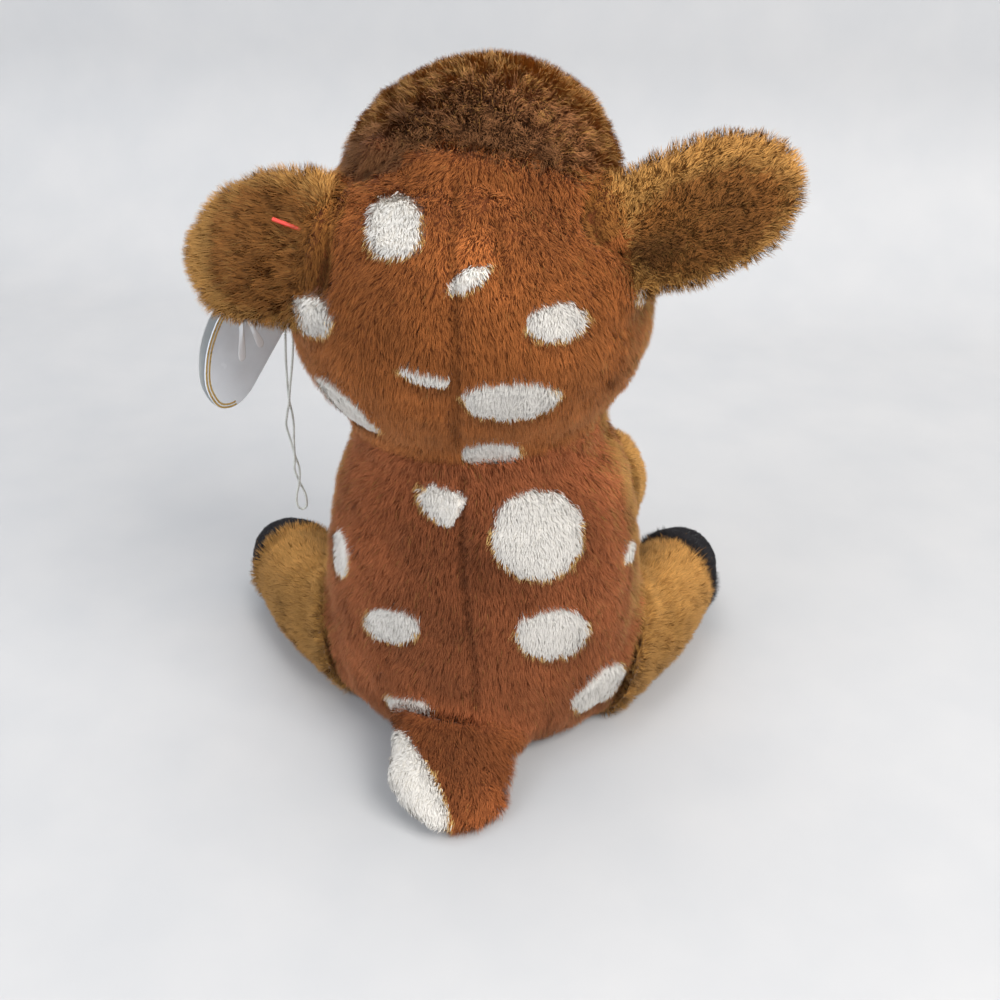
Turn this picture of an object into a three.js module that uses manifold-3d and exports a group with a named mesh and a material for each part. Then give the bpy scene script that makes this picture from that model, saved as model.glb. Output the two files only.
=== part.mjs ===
// Bean bag plush: a spotted fawn that sits on a weighted seat, with sewn limbs, a folded
// left ear and a swing tag. Millimetres, +Z up. The fawn faces -Y, so its left side is +X.
// The origin is the middle of the flat seat panel that it rests on.
import * as THREE from 'three';
import * as BufferGeometryUtils from 'three/addons/utils/BufferGeometryUtils.js';
import Module from 'manifold-3d';

const wasm = await Module();
wasm.setup();

const GAP = 0.35; // between pieces that touch in the real toy
const FLAT_CUT = 0.5; // how deep the stuffed forms are pressed flat where they rest

// Torso: a pear whose widest height is BODY.waist
const BODY = { halfWidth: 51, halfDepth: 45, waist: 34, top: 119, below: 4, lean: -0.07 };
const SEAT = { halfWidth: 31, halfDepth: 27, thick: 2.4 };
const POUCH = { halfWidth: 25, halfDepth: 22, height: 27 };
const BELLY = { halfWidth: 27, halfHeight: 40, height: 56, depth: 3.2 };

// Head: its own frame, tilted towards the left ear
const HEAD = { halfWidth: 53.5, halfDepth: 51, halfHeight: 50, jowl: 0.1, power: 2.05 };
const HEAD_AT = new THREE.Vector3(4, -5, 143);
const HEAD_TILT = THREE.MathUtils.degToRad(6);
const TUFT = { halfWidth: 37.5, halfDepth: 31, halfHeight: 31, across: -6, rise: 30, back: -3.5 };
const TUFT_ROLL = THREE.MathUtils.degToRad(9);
const MUZZLE = { halfWidth: 21, halfDepth: 22, halfHeight: 16, out: 47, drop: 17 };
const EYE = { radius: 5.6, bulge: 3.4, shank: 1.7, shankLength: 11, across: 25, lift: -1 };
const NOSE = { halfWidth: 7.5, halfHeight: 5, bulge: 4.2, shank: 1.7, shankLength: 10, rise: 6 };
const WASHER = { radius: 5.2, thick: 1.4, depth: 5 };

// Ears: half widths and half thicknesses along the blade, from the seam to the tip
const EAR = { halfThick: 6, cup: 3.2, lining: 2.2, hem: 5 };
const EAR_WIDTHS = { right: [15, 18.5, 18.5, 8.5], left: [18.5, 22, 19, 4.5] };
const EAR_FLAP = { right: [-12, 25], left: [-4, 20] };

// Limbs: half widths at the root, the middle and the end, with the hoof's share of the length
const HIND = {
  root: 20.5, middle: 18.5, ankle: 14.6, reach: 82, inside: 34, seam: -10, joint: 16, hoof: 19, bow: 11,
};
const HIP = new THREE.Vector3(29, -0.5, 19.8);
const HIND_SPLAY = { left: 45.4, right: 27.8 };
const HIND_RANGE = [-8, 8];
const FORE = { root: 15.5, middle: 13.2, ankle: 12.4, hoof: 13, inside: 9 };
const SHOULDER = new THREE.Vector3(34, -28, 71);
const ELBOW = new THREE.Vector3(33, -52, 45);
const HAND = new THREE.Vector3(27, -69, 0.6);
const FORE_RANGE = [-20, 0];

// Tail: a two-sided leaf that lies on its tip
const TAIL = { root: 18.5, halfWidth: 19, halfThick: 5.4, hem: 4, lining: 2 };
const TAIL_ROOT = new THREE.Vector3(2, 43, 15);
const TAIL_TIP = new THREE.Vector3(1, 76.5, 5);
const TAIL_RANGE = [0, 25];
const TAIL_ROLL = THREE.MathUtils.degToRad(16); // its left edge is turned up

const NECK = { height: 113, forward: 3, range: [-4, 10] };

// Swing tag: two leaves of card on a red barb that pierces the left ear
const TAG = { thick: 0.5, leafGap: 0.35, fold: 13.8, square: [-14, -38], tab: 5, hole: 1.8 };
const TAG_OPEN = { rest: 9, range: [-8, 110], knuckle: 0.3 };
const TAG_SWING = [-10, 40];
const TAG_HOLE_AT = new THREE.Vector3(HEAD.halfWidth + 13.8, -22, 138.5);
const TAG_TURN = THREE.MathUtils.degToRad(-51.5); // of the card about the vertical
const TAG_TILT = THREE.MathUtils.degToRad(-41.6); // of its long side from the vertical
const BARB = { bar: 9.6, radius: 0.6, stem: 0.55, bore: 1.1, reach: 19, through: 2.6 };
const BARB_AT = new THREE.Vector3(HEAD.halfWidth - 4, 21.3, 167.9);
const STRING_RADIUS = 0.45;

const point = (x, y, z) => new THREE.Vector3(x, y, z);

/** A BufferGeometry made a solid: shared vertices merged, position alone kept. */
function solid(geometry) {
  const bare = geometry.clone();
  for (const name of Object.keys(bare.attributes)) {
    if (name !== 'position') bare.deleteAttribute(name);
  }
  const merged = BufferGeometryUtils.mergeVertices(bare, 1e-4);
  const mesh = new wasm.Mesh({
    numProp: 3,
    vertProperties: new Float32Array(merged.attributes.position.array),
    triVerts: new Uint32Array(merged.index.array),
  });
  return new wasm.Manifold(mesh);
}

/** A solid made a BufferGeometry again. Specks that a cut leaves are dropped. */
function geometryOf(shape) {
  const pieces = shape.decompose();
  pieces.sort((a, b) => b.volume() - a.volume());
  const mesh = pieces[0].getMesh();
  const geometry = new THREE.BufferGeometry();
  geometry.setAttribute('position', new THREE.BufferAttribute(mesh.vertProperties, 3));
  geometry.setIndex(new THREE.BufferAttribute(mesh.triVerts, 1));
  return BufferGeometryUtils.toCreasedNormals(geometry, THREE.MathUtils.degToRad(40));
}

/** The solid turned by degrees about an axis through a pivot. */
function turned(shape, { pivot, axis }, degrees) {
  const turn = new THREE.Matrix4()
    .makeTranslation(pivot)
    .multiply(new THREE.Matrix4().makeRotationAxis(axis, THREE.MathUtils.degToRad(degrees)))
    .multiply(new THREE.Matrix4().makeTranslation(pivot.clone().negate()));
  return shape.transform(turn.elements);
}

/** All the room that a solid takes as a joint turns it, with one degree to spare at each end. */
function swept(shape, joint, sign = 1) {
  const [low, high] = joint.range;
  const count = Math.ceil((high - low + 2) / 10);
  let room = null;
  for (let i = 0; i <= count; i += 1) {
    const step = turned(shape, joint, sign * (low - 1 + ((high - low + 2) * i) / count));
    room = room ? room.add(step) : step;
  }
  return room;
}

/** Closed surface through rings of equal count, drawn together to a point at each end. */
function skinned(rings, first, last) {
  const sides = rings[0].length;
  const points = [first, ...rings.flat(), last];
  const index = [];
  for (let k = 0; k < sides; k += 1) {
    const next = (k + 1) % sides;
    index.push(0, 1 + next, 1 + k);
    for (let r = 0; r + 1 < rings.length; r += 1) {
      const a = 1 + r * sides;
      const b = a + sides;
      index.push(a + k, a + next, b + next, a + k, b + next, b + k);
    }
    const end = 1 + (rings.length - 1) * sides;
    index.push(end + k, end + next, points.length - 1);
  }
  const geometry = new THREE.BufferGeometry().setFromPoints(points);
  geometry.setIndex(index);
  return geometry;
}

/** Stuffed form about a vertical line. half(s) gives [half width, half depth, shift back]
 * at s, from -1 at the lowest point to 1 at the highest. */
function egg({ low, high, half, sides = 26, rows = 16 }) {
  const at = (s) => low + ((high - low) * (s + 1)) / 2;
  const rings = [];
  for (let r = 1; r < rows; r += 1) {
    const s = -Math.cos((Math.PI * r) / rows);
    const [a, b, back] = half(s);
    const ring = [];
    for (let k = 0; k < sides; k += 1) {
      const turn = (2 * Math.PI * k) / sides;
      ring.push(new THREE.Vector3(a * Math.cos(turn), back + b * Math.sin(turn), at(s)));
    }
    rings.push(ring);
  }
  const pole = (s) => new THREE.Vector3(0, half(s)[2], at(s));
  return skinned(rings, pole(-1), pole(1));
}

/** Smooth value between evenly spaced ones. */
function between(values, t) {
  const place = THREE.MathUtils.clamp(t, 0, 1) * (values.length - 1);
  const i = Math.min(Math.floor(place), values.length - 2);
  const f = THREE.MathUtils.smoothstep(place - i, 0, 1) * 0.5 + (place - i) * 0.5;
  return values[i] + (values[i + 1] - values[i]) * f;
}

/** Stuffed limb or blade along a line. widths and thicks are half sizes from root to end,
 * side is the direction of its width, cup bends the width towards the blade's face. */
function limb({ line, widths, thicks = widths, side, cup = 0, grow = 0, sides = 16, rows = 12 }) {
  const path = new THREE.CatmullRomCurve3(line, false, 'centripetal');
  const length = path.getLength();
  const cap = Math.min(thicks[0], thicks[thicks.length - 1]) + grow;
  const tip = Math.min(widths[widths.length - 1], 0.45 * length) + grow;
  const rings = [];
  let frame = null;
  const frameAt = (t) => {
    const along = path.getTangentAt(THREE.MathUtils.clamp(t, 0, 1));
    const across = side.clone().addScaledVector(along, -side.dot(along)).normalize();
    return { along, across, face: along.clone().cross(across) };
  };
  const total = length + 2 * grow;
  for (let r = 1; r < rows; r += 1) {
    const run = (total * (1 - Math.cos((Math.PI * r) / rows))) / 2;
    const t = THREE.MathUtils.clamp((run - grow) / length, 0, 1);
    frame = frameAt(t);
    const centre = path.getPointAt(t);
    centre.addScaledVector(frame.along, run - grow - t * length);
    const fromRoot = Math.min(run / cap, 1);
    const fromEnd = Math.min((total - run) / tip, 1);
    const round = Math.sqrt(1 - (1 - fromRoot) ** 2) * Math.sqrt(1 - (1 - fromEnd) ** 2);
    const a = (between(widths, t) + grow) * round;
    const b = (between(thicks, t) + grow) * round;
    const ring = [];
    for (let k = 0; k < sides; k += 1) {
      const turn = (2 * Math.PI * k) / sides;
      const lift = b * Math.sin(turn) + cup * round * Math.cos(turn) ** 2;
      ring.push(
        centre
          .clone()
          .addScaledVector(frame.across, a * Math.cos(turn))
          .addScaledVector(frame.face, lift),
      );
    }
    rings.push(ring);
  }
  const ends = [0, 1].map((t) => {
    const reach = t === 0 ? -grow : grow;
    return path.getPointAt(t).addScaledVector(frameAt(t).along, reach);
  });
  return solid(skinned(rings, ends[0], ends[1]));
}

/** Ellipsoid with its half sizes along X, Y and Z. */
function ellipsoid(centre, a, b, c, sides = 18, rows = 12) {
  const form = new THREE.SphereGeometry(1, sides, rows);
  form.rotateX(Math.PI / 2);
  form.scale(a, b, c);
  form.translate(centre.x, centre.y, centre.z);
  return solid(form);
}

/** Round bar along a line of points. */
function wire(line, radius, sides = 8, steps = 10) {
  const section = new THREE.Shape();
  section.absarc(0, 0, radius, 0, 2 * Math.PI);
  const path = new THREE.CatmullRomCurve3(line, false, 'centripetal');
  return new THREE.ExtrudeGeometry(section, {
    steps,
    curveSegments: sides / 2,
    extrudePath: path,
  });
}

/** The half of space on one side of a plane, as a block far larger than the toy. */
function beyond(place, normal) {
  const far = 200;
  const form = new THREE.BoxGeometry(2 * far, 2 * far, 2 * far);
  form.translate(0, 0, far);
  form.applyQuaternion(new THREE.Quaternion().setFromUnitVectors(new THREE.Vector3(0, 0, 1), normal));
  form.translate(place.x, place.y, place.z);
  return solid(form);
}

const toy = new THREE.Group();

/** Adds a named piece with the finish of its cloth, card or plastic. */
function piece(name, shape, [color, roughness], matrix = null) {
  const geometry = shape.isBufferGeometry ? shape : geometryOf(shape);
  const mesh = new THREE.Mesh(
    geometry,
    new THREE.MeshStandardMaterial({ color, roughness, metalness: 0 }),
  );
  mesh.name = name;
  if (matrix) mesh.applyMatrix4(matrix);
  toy.add(mesh);
}

const RUST = [0x8c4b28, 0.95];
const TAN = [0xa5783c, 0.95];
const BROWN = [0x5f3c24, 0.95];
const CREAM = [0xe4dcc8, 0.95];
const BLACK = [0x1c1c1e, 0.9];
const PLASTIC = [0x17100c, 0.2];
const WHITE_PLASTIC = [0xd8d6cf, 0.5];
const CARD = [0xd2d2de, 0.3];
const RED = [0xdc3c2d, 0.4];
const THREAD = [0xbec3b9, 0.8];
const LINEN = [0xcfc8b6, 0.9];

const flatten = (shape) => shape.subtract(beyond(point(), point(0, 0, -1)));

// Torso, seat, pouch and belly
function torsoForm(grow = 0) {
  const low = -BODY.below - grow;
  const high = BODY.top + grow;
  return solid(
    egg({
      low,
      high,
      half: (s) => {
        const z = low + ((high - low) * (s + 1)) / 2;
        const [reach, power] = z < BODY.waist ? [BODY.waist - low, 3.4] : [high - BODY.waist, 2.5];
        const q = Math.min(Math.abs(z - BODY.waist) / reach, 1);
        const swell = (1 - q ** power) ** (1 / power);
        const back = BODY.lean * Math.max(z - BODY.waist, 0);
        return [(BODY.halfWidth + grow) * swell, (BODY.halfDepth + grow) * swell, back];
      },
    }),
  );
}

// Head in its own frame
function headForm(grow = 0) {
  return solid(
    egg({
      low: -HEAD.halfHeight - grow,
      high: HEAD.halfHeight + grow,
      half: (s) => {
        const swell = (1 - Math.abs(s) ** HEAD.power) ** (1 / HEAD.power);
        const wide = (HEAD.halfWidth + grow) * swell * (1 - HEAD.jowl * s);
        return [wide, (HEAD.halfDepth + grow) * swell, 0];
      },
    }),
  );
}

const headPlace = new THREE.Matrix4()
  .makeRotationY(HEAD_TILT)
  .setPosition(HEAD_AT);
const neckJoint = {
  pivot: point(0, -NECK.forward, NECK.height),
  axis: point(1, 0, 0),
  range: NECK.range,
};
const upDown = point(0, 0, 1);
const leftRight = point(1, 0, 0);

const headRoom = swept(headForm(GAP).transform(headPlace.elements), neckJoint);
const torsoWhole = flatten(torsoForm().subtract(headRoom));
const torsoRoom = torsoForm(GAP);

const bellyAt = point(0, -BODY.halfDepth - 22 + BELLY.depth, BELLY.height);
const bellyCut = (grow) => ellipsoid(bellyAt, BELLY.halfWidth + grow, 24 + grow, BELLY.halfHeight + grow);

const seatDisc = (grow) => {
  const form = new THREE.CylinderGeometry(1, 1, SEAT.thick + grow, 32);
  form.rotateX(Math.PI / 2);
  form.scale(SEAT.halfWidth + grow, SEAT.halfDepth + grow, 1);
  form.translate(0, 0, (SEAT.thick + grow) / 2);
  return form;
};
const pouchForm = (grow) => {
  const centre = point(0, 0, SEAT.thick + GAP + POUCH.height / 2);
  return ellipsoid(centre, POUCH.halfWidth + grow, POUCH.halfDepth + grow, POUCH.height / 2 + grow);
};
const pocket = pouchForm(GAP).add(
  ellipsoid(point(0, 0, SEAT.thick), POUCH.halfWidth - 4, POUCH.halfDepth - 4, 4),
);

piece(
  'body',
  torsoWhole.subtract(bellyCut(GAP)).subtract(solid(seatDisc(GAP))).subtract(pocket),
  RUST,
);
piece('belly_panel', torsoWhole.intersect(bellyCut(0)), CREAM);
piece('seat_panel', seatDisc(0), TAN);
piece('bean_pouch', pouchForm(0), LINEN);

// Head: crown tuft, muzzle, eyes and nose, all set into it
const head = headForm();
const headRoomHere = headForm(GAP);
const tuftPlace = new THREE.Matrix4()
  .makeRotationY(TUFT_ROLL)
  .setPosition(TUFT.across, TUFT.back, TUFT.rise);
const tuft = ellipsoid(point(0, 0, 0), TUFT.halfWidth, TUFT.halfDepth, TUFT.halfHeight, 24, 14)
  .transform(tuftPlace.elements);
const muzzleAt = point(0, -MUZZLE.out, -MUZZLE.drop);
const muzzle = ellipsoid(muzzleAt, MUZZLE.halfWidth, MUZZLE.halfDepth, MUZZLE.halfHeight);

/** A domed button on a shank, along +Z, with the room that it and its washer need. */
function button({ a, b, bulge, shank, shankLength }, grow) {
  const dome = ellipsoid(point(), a + grow, b + grow, bulge + grow, 18, 8)
    .intersect(beyond(point(0, 0, -0.8 - grow), upDown));
  const stem = new THREE.CylinderGeometry(shank + grow, shank + grow, shankLength, 12);
  stem.rotateX(Math.PI / 2);
  stem.translate(0, 0, -shankLength / 2 - grow);
  return dome.add(solid(stem));
}

function washer(shank, grow) {
  const outer = WASHER.radius + grow;
  const inner = shank + GAP - grow;
  const half = WASHER.thick / 2 + grow;
  const outline = [
    new THREE.Vector2(inner, -half),
    new THREE.Vector2(outer, -half),
    new THREE.Vector2(outer, half),
    new THREE.Vector2(inner, half),
    new THREE.Vector2(inner, -half),
  ];
  const form = new THREE.LatheGeometry(outline, 20);
  form.rotateX(Math.PI / 2);
  form.translate(0, 0, -WASHER.depth - WASHER.thick / 2);
  return solid(form);
}

/** Matrix that stands a button on a surface point, with its dome along the normal. */
function mounted(place, normal) {
  const turn = new THREE.Quaternion().setFromUnitVectors(upDown, normal.clone().normalize());
  return new THREE.Matrix4().compose(place, turn, point(1, 1, 1));
}

/** Point of the head's front at a place across and above its middle, with its normal. */
function onFace(across, lift) {
  const [a, b, c] = [HEAD.halfWidth, HEAD.halfDepth, HEAD.halfHeight];
  const deep = -b * Math.sqrt(1 - (across / a) ** 2 - (lift / c) ** 2);
  return [point(across, deep, lift), point(across / a ** 2, deep / b ** 2, lift / c ** 2)];
}

const eyeSizes = { a: EYE.radius, b: EYE.radius, ...EYE };
const noseSizes = { a: NOSE.halfWidth, b: NOSE.halfHeight, ...NOSE };
let headSolid = head;
for (const [side, name] of [[1, 'left'], [-1, 'right']]) {
  const place = mounted(...onFace(side * EYE.across, EYE.lift));
  const world = headPlace.clone().multiply(place);
  const room = button(eyeSizes, GAP).add(washer(EYE.shank, GAP)).transform(place.elements);
  headSolid = headSolid.subtract(room);
  piece(`eye_${name}`, button(eyeSizes, 0), PLASTIC, world);
  piece(`eye_washer_${name}`, washer(EYE.shank, 0), WHITE_PLASTIC, world);
}
const noseLift = MUZZLE.halfHeight * Math.sin(THREE.MathUtils.degToRad(24));
const noseOut = MUZZLE.halfDepth * Math.cos(THREE.MathUtils.degToRad(24));
const noseAt = muzzleAt.clone().add(point(0, -noseOut, noseLift));
const nosePlace = mounted(noseAt, point(0, -1, 0.5));
const noseRoom = button(noseSizes, GAP).add(washer(NOSE.shank, GAP)).transform(nosePlace.elements);
const noseWorld = headPlace.clone().multiply(nosePlace);
piece('nose', button(noseSizes, 0), PLASTIC, noseWorld);
piece('nose_washer', washer(NOSE.shank, 0), WHITE_PLASTIC, noseWorld);
piece('muzzle', muzzle.subtract(headRoomHere).subtract(noseRoom), CREAM, headPlace);
piece('crown_tuft', tuft.subtract(headRoomHere), BROWN, headPlace);
piece('head', headSolid.subtract(noseRoom), RUST, headPlace);

// Ears: a cupped blade with a lining, cut to the head's curve for every angle it flaps to
const earSide = point(0.2, -0.35, 0.9).normalize();
const onSide = { right: point(-HEAD.halfWidth, 0, 0), left: point(HEAD.halfWidth, 0, 0) };
const EAR_ROOTS = { right: point(6.5, 15, 17), left: point(-20.5, 29.5, 22.5) };
const EAR_LINES = {
  right: [point(11.5, 12, 16), point(-4.5, 12, 18.5), point(-22.5, 7, 24), point(-40, 0, 31)],
  left: [point(-25.5, 24.5, 23.5), point(-6, 20.5, 21), point(12.5, 12, 17), point(28, -1, 14)],
};
const earParts = {};
for (const [name, sign] of [['right', -1], ['left', 1]]) {
  const line = EAR_LINES[name].map((place) => place.add(onSide[name]));
  const across = earSide.clone().multiply(point(-sign, 1, 1));
  const form = (grow, shrink = 0) => limb({
    line,
    widths: EAR_WIDTHS[name].map((w) => Math.max(w - shrink, EAR.hem / 2)),
    thicks: [EAR.halfThick, EAR.halfThick, EAR.halfThick - 0.6, EAR.halfThick - 2],
    side: across,
    cup: -sign * EAR.cup,
    grow,
    sides: 16,
    rows: 12,
  });
  const joint = {
    pivot: EAR_ROOTS[name].add(onSide[name]),
    axis: across,
    range: EAR_FLAP[name],
  };
  const room = swept(headRoomHere, joint, -1);
  const blade = form(0).subtract(room);
  const front = point(0, -EAR.halfThick - EAR.cup + EAR.lining - 2, -2);
  const inner = (grow) => form(grow, EAR.hem).translate([front.x, front.y, front.z]);
  earParts[name] = {
    blade: blade.subtract(inner(GAP)),
    lining: blade.intersect(inner(0)),
    joint,
  };
}
piece('ear_right', earParts.right.blade, TAN, headPlace);
piece('ear_lining_right', earParts.right.lining, CREAM, headPlace);

// Barb through the left ear, with the card and the string hung on it
const barbInto = point(0.46, -0.78, -0.42).normalize();
const barbLeave = BARB_AT.clone().addScaledVector(barbInto, BARB.reach);
const cardNormal = point(0, 1, 0).applyAxisAngle(upDown, -TAG_TURN);
const cardDown = point(0, 0, -1).applyAxisAngle(cardNormal, TAG_TILT);
const cardAcross = cardNormal.clone().cross(cardDown);
const barbEnd = TAG_HOLE_AT.clone().addScaledVector(cardNormal, -BARB.through);
const stemLine = [
  BARB_AT,
  BARB_AT.clone().addScaledVector(barbInto, BARB.reach / 2),
  barbLeave,
  TAG_HOLE_AT.clone().addScaledVector(cardNormal, BARB.through),
  barbEnd,
];
const barDirection = point(-10, 4, -1.5).normalize();
const bar = (middle, direction, length) => solid(
  wire([-0.5, 0.5].map((f) => middle.clone().addScaledVector(direction, f * length)), BARB.radius, 8, 1),
);
const fastener = solid(wire(stemLine, BARB.stem, 8, 24))
  .add(bar(BARB_AT, barDirection, BARB.bar))
  .add(bar(barbEnd, cardAcross, BARB.bar * 0.7));
const boreStart = BARB_AT.clone().addScaledVector(barbInto, -BARB.bar);
const barbBore = solid(wire([boreStart, ...stemLine], BARB.bore, 8, 24));
for (const [name, part, finish] of [['ear_left', 'blade', TAN], ['ear_lining_left', 'lining', CREAM]]) {
  piece(name, earParts.left[part].transform(headPlace.elements).subtract(barbBore), finish);
}
piece('tag_barb', fastener, RED);

// Card leaves in their own frame: X across to the fold, Y up, Z out of the back
const cardPlace = new THREE.Matrix4()
  .makeBasis(cardAcross, cardDown.clone().negate(), cardNormal)
  .setPosition(TAG_HOLE_AT);
const LEAF_EDGE = [
  [12.2, -43.2], [8.8, -46.6], [4.6, -47.3], [-1.4, -44.3], [-5.7, -39.1],
  [-9.2, -31.5], [-10.6, -21.5], [-8, -11.5], [-2, -4], [6, -4.5],
].map(([x, y]) => new THREE.Vector2(x, y));
const foldAt = point(TAG.fold + TAG_OPEN.knuckle, 0, -TAG.leafGap / 2);

/** Leaf of card with a straight fold side and a rounded free side. */
function leaf(low) {
  const outline = new THREE.Shape();
  outline.moveTo(TAG.fold, TAG.square[0]);
  outline.lineTo(TAG.fold, TAG.square[1]);
  outline.splineThru(LEAF_EDGE);
  const form = new THREE.ExtrudeGeometry(outline, {
    depth: TAG.thick,
    bevelEnabled: false,
    curveSegments: 3,
  });
  form.translate(0, 0, low);
  return solid(form);
}

function disc(radius, low, thick) {
  const form = new THREE.CylinderGeometry(radius, radius, thick, 20);
  form.rotateX(Math.PI / 2);
  form.translate(0, 0, low + thick / 2);
  return solid(form);
}

const tagBack = leaf(0).add(disc(TAG.tab, 0, TAG.thick)).subtract(disc(TAG.hole, -1, 3));
const coverLeaf = leaf(-TAG.leafGap - TAG.thick)
  .subtract(beyond(point(0, -TAG.tab - 3, 0), point(0, 1, 0)));
const tagCover = turned(coverLeaf, { pivot: foldAt, axis: point(0, -1, 0) }, TAG_OPEN.rest);
piece('tag_back', tagBack, CARD, cardPlace);
piece('tag_cover', tagCover, CARD, cardPlace);

// String looped over the barb's stem: one strand down to the teardrop, the other back up,
// as places from the tag's hole
const STRING_ROUTE = [
  [-5, 11.1, 9], [-6.3, 10.8, 8.4], [-6.7, 10.7, 6.7], [-6.7, 10.7, 3], [-6.7, 10.8, 1.5],
  [-6.7, 10.8, -8.5], [-6.5, 10.8, -14.5], [-5.4, 11.2, -26.5], [-4, 11.7, -35.5],
  [-3.1, 11.7, -41.5], [-2.2, 11.8, -45.5], [-1.4, 11.2, -49.5], [-2, 10.4, -55.1],
  [-3.2, 10.3, -61.5], [-4.3, 10.6, -66], [-4.1, 11.8, -71], [-2.9, 11.4, -75.3],
  [-2.5, 11.2, -78.3], [-3, 11.2, -80.6], [-4.2, 11, -81.3], [-5.4, 10.8, -80.6],
  [-5.9, 10.8, -78.3], [-5.5, 10.6, -75.3], [-3.7, 10.2, -71], [-2.9, 11.4, -66],
  [-3.4, 11.7, -61.5], [-3.6, 11.6, -55.1], [-3.8, 10.8, -49.5], [-3.4, 10.2, -45.5],
  [-2.9, 10.3, -41.5], [-2.8, 10.3, -35.5], [-3.2, 10.8, -26.5], [-4.1, 11.2, -14.5],
  [-4.3, 11.2, -8.5], [-4.1, 11.2, 1.5], [-3.9, 11.3, 3], [-3.9, 11.3, 6.8], [-4, 11.3, 7.8],
].map((offset) => point(...offset).add(TAG_HOLE_AT));
piece('tag_string', wire(STRING_ROUTE, STRING_RADIUS, 8, 72), THREAD);

// Hind legs: bowed, swelling towards the hip, with a black hoof at the end
function hindLeg(sign, splay) {
  const angle = THREE.MathUtils.degToRad(splay);
  const forth = point(sign * Math.sin(angle), -Math.cos(angle), 0);
  const out = point(sign * Math.cos(angle), Math.sin(angle), 0);
  const hip = HIP.clone().multiply(point(sign, 1, 1));
  const along = (run) => {
    const bow = HIND.bow * Math.sin((Math.PI * (run + HIND.inside)) / (HIND.reach + HIND.inside));
    const height = THREE.MathUtils.lerp(HIP.z, HIND.ankle - 2 * FLAT_CUT, Math.max(run, 0) / HIND.reach);
    return hip.clone().addScaledVector(forth, run).addScaledVector(out, bow).setZ(height);
  };
  const line = [-HIND.inside, 0, 0.3 * HIND.reach, 0.55 * HIND.reach, 0.8 * HIND.reach, HIND.reach];
  const form = limb({
    line: line.map(along),
    widths: [HIND.root, HIND.root, HIND.middle, HIND.ankle + 1, HIND.ankle],
    side: out,
    rows: 13,
  });
  const joint = { pivot: along(HIND.joint), axis: upDown, range: HIND_RANGE };
  const seamEnd = beyond(along(HIND.seam), forth.clone().negate());
  const whole = flatten(form.subtract(swept(torsoRoom, joint, -1)).subtract(seamEnd));
  const cutAt = along(HIND.reach - HIND.hoof);
  return { whole, cutAt, forth, joint };
}

function foreLeg(sign) {
  const at = (v) => v.clone().multiply(point(sign, 1, 1));
  const into = SHOULDER.clone().sub(ELBOW).setLength(FORE.inside);
  const line = [SHOULDER.clone().add(into), SHOULDER, ELBOW, HAND].map(at);
  const form = limb({
    line,
    widths: [FORE.root, FORE.root, FORE.middle, FORE.ankle],
    side: leftRight,
  });
  const joint = { pivot: at(SHOULDER), axis: leftRight, range: FORE_RANGE };
  const whole = flatten(form.subtract(swept(torsoRoom, joint, -1)));
  const forth = HAND.clone().sub(ELBOW).multiply(point(sign, 1, 1)).normalize();
  return { whole, cutAt: at(HAND).addScaledVector(forth, -FORE.hoof), forth, joint };
}

/** Splits a leg into its fur sleeve and its velvet hoof, a seam's gap apart. */
function shod(name, { whole, cutAt, forth }) {
  const back = forth.clone().negate();
  const sleeve = whole.subtract(beyond(cutAt.clone().addScaledVector(back, GAP), forth));
  piece(name, sleeve, TAN);
  piece(name.replace('leg', 'hoof'), whole.intersect(beyond(cutAt, forth)), BLACK);
}
const joints = {};
for (const [side, sign] of [['left', 1], ['right', -1]]) {
  const hind = hindLeg(sign, HIND_SPLAY[side]);
  const fore = foreLeg(sign);
  shod(`hind_leg_${side}`, hind);
  shod(`front_leg_${side}`, fore);
  joints[`hind_leg_${side}`] = hind.joint;
  joints[`front_leg_${side}`] = fore.joint;
}

// Tail
const tailSide = point(Math.cos(TAIL_ROLL), 0, Math.sin(TAIL_ROLL));
const tailLine = [-0.3, 0.02, 0.5, 1].map((t) => {
  const at = TAIL_ROOT.clone().lerp(TAIL_TIP, t);
  return at.setZ(at.z - 1.5 * Math.sin(Math.PI * THREE.MathUtils.clamp(t, 0, 1)));
});
const tailForm = (grow, shrink = 0) => limb({
  line: tailLine,
  widths: [TAIL.root, TAIL.root, TAIL.halfWidth, TAIL.halfWidth - 4].map((w) => w - shrink),
  thicks: [TAIL.halfThick, TAIL.halfThick + 0.6, TAIL.halfThick, TAIL.halfThick - 2],
  side: tailSide,
  grow,
});
const tailJoint = { pivot: TAIL_ROOT, axis: leftRight, range: TAIL_RANGE };
const tailWhole = flatten(tailForm(0).subtract(swept(torsoRoom, tailJoint, -1)));
const tailFace = TAIL_TIP.clone().sub(TAIL_ROOT).normalize().cross(tailSide);
const tailShift = tailFace
  .multiplyScalar(2 * TAIL.halfThick - TAIL.lining)
  .addScaledVector(tailSide, TAIL.hem);
const tailInner = (grow) => tailForm(grow, TAIL.hem).translate([tailShift.x, tailShift.y, tailShift.z]);
piece('tail', tailWhole.subtract(tailInner(GAP)), RUST);
piece('tail_lining', tailWhole.intersect(tailInner(0)), CREAM);

// Where each moving piece turns, in the toy's own frame
const inHead = ({ pivot, axis, range }) => ({
  pivot: pivot.clone().applyMatrix4(headPlace),
  axis: axis.clone().transformDirection(headPlace),
  range,
});
joints.neck = neckJoint;
joints.ear_left = inHead(earParts.left.joint);
joints.ear_right = inHead(earParts.right.joint);
joints.tail = tailJoint;
joints.tag = { pivot: TAG_HOLE_AT, axis: cardNormal, range: TAG_SWING };
joints.tag_cover = {
  pivot: foldAt.clone().applyMatrix4(cardPlace),
  axis: cardDown,
  range: TAG_OPEN.range,
};
toy.userData.joints = joints;

export default toy;
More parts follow.
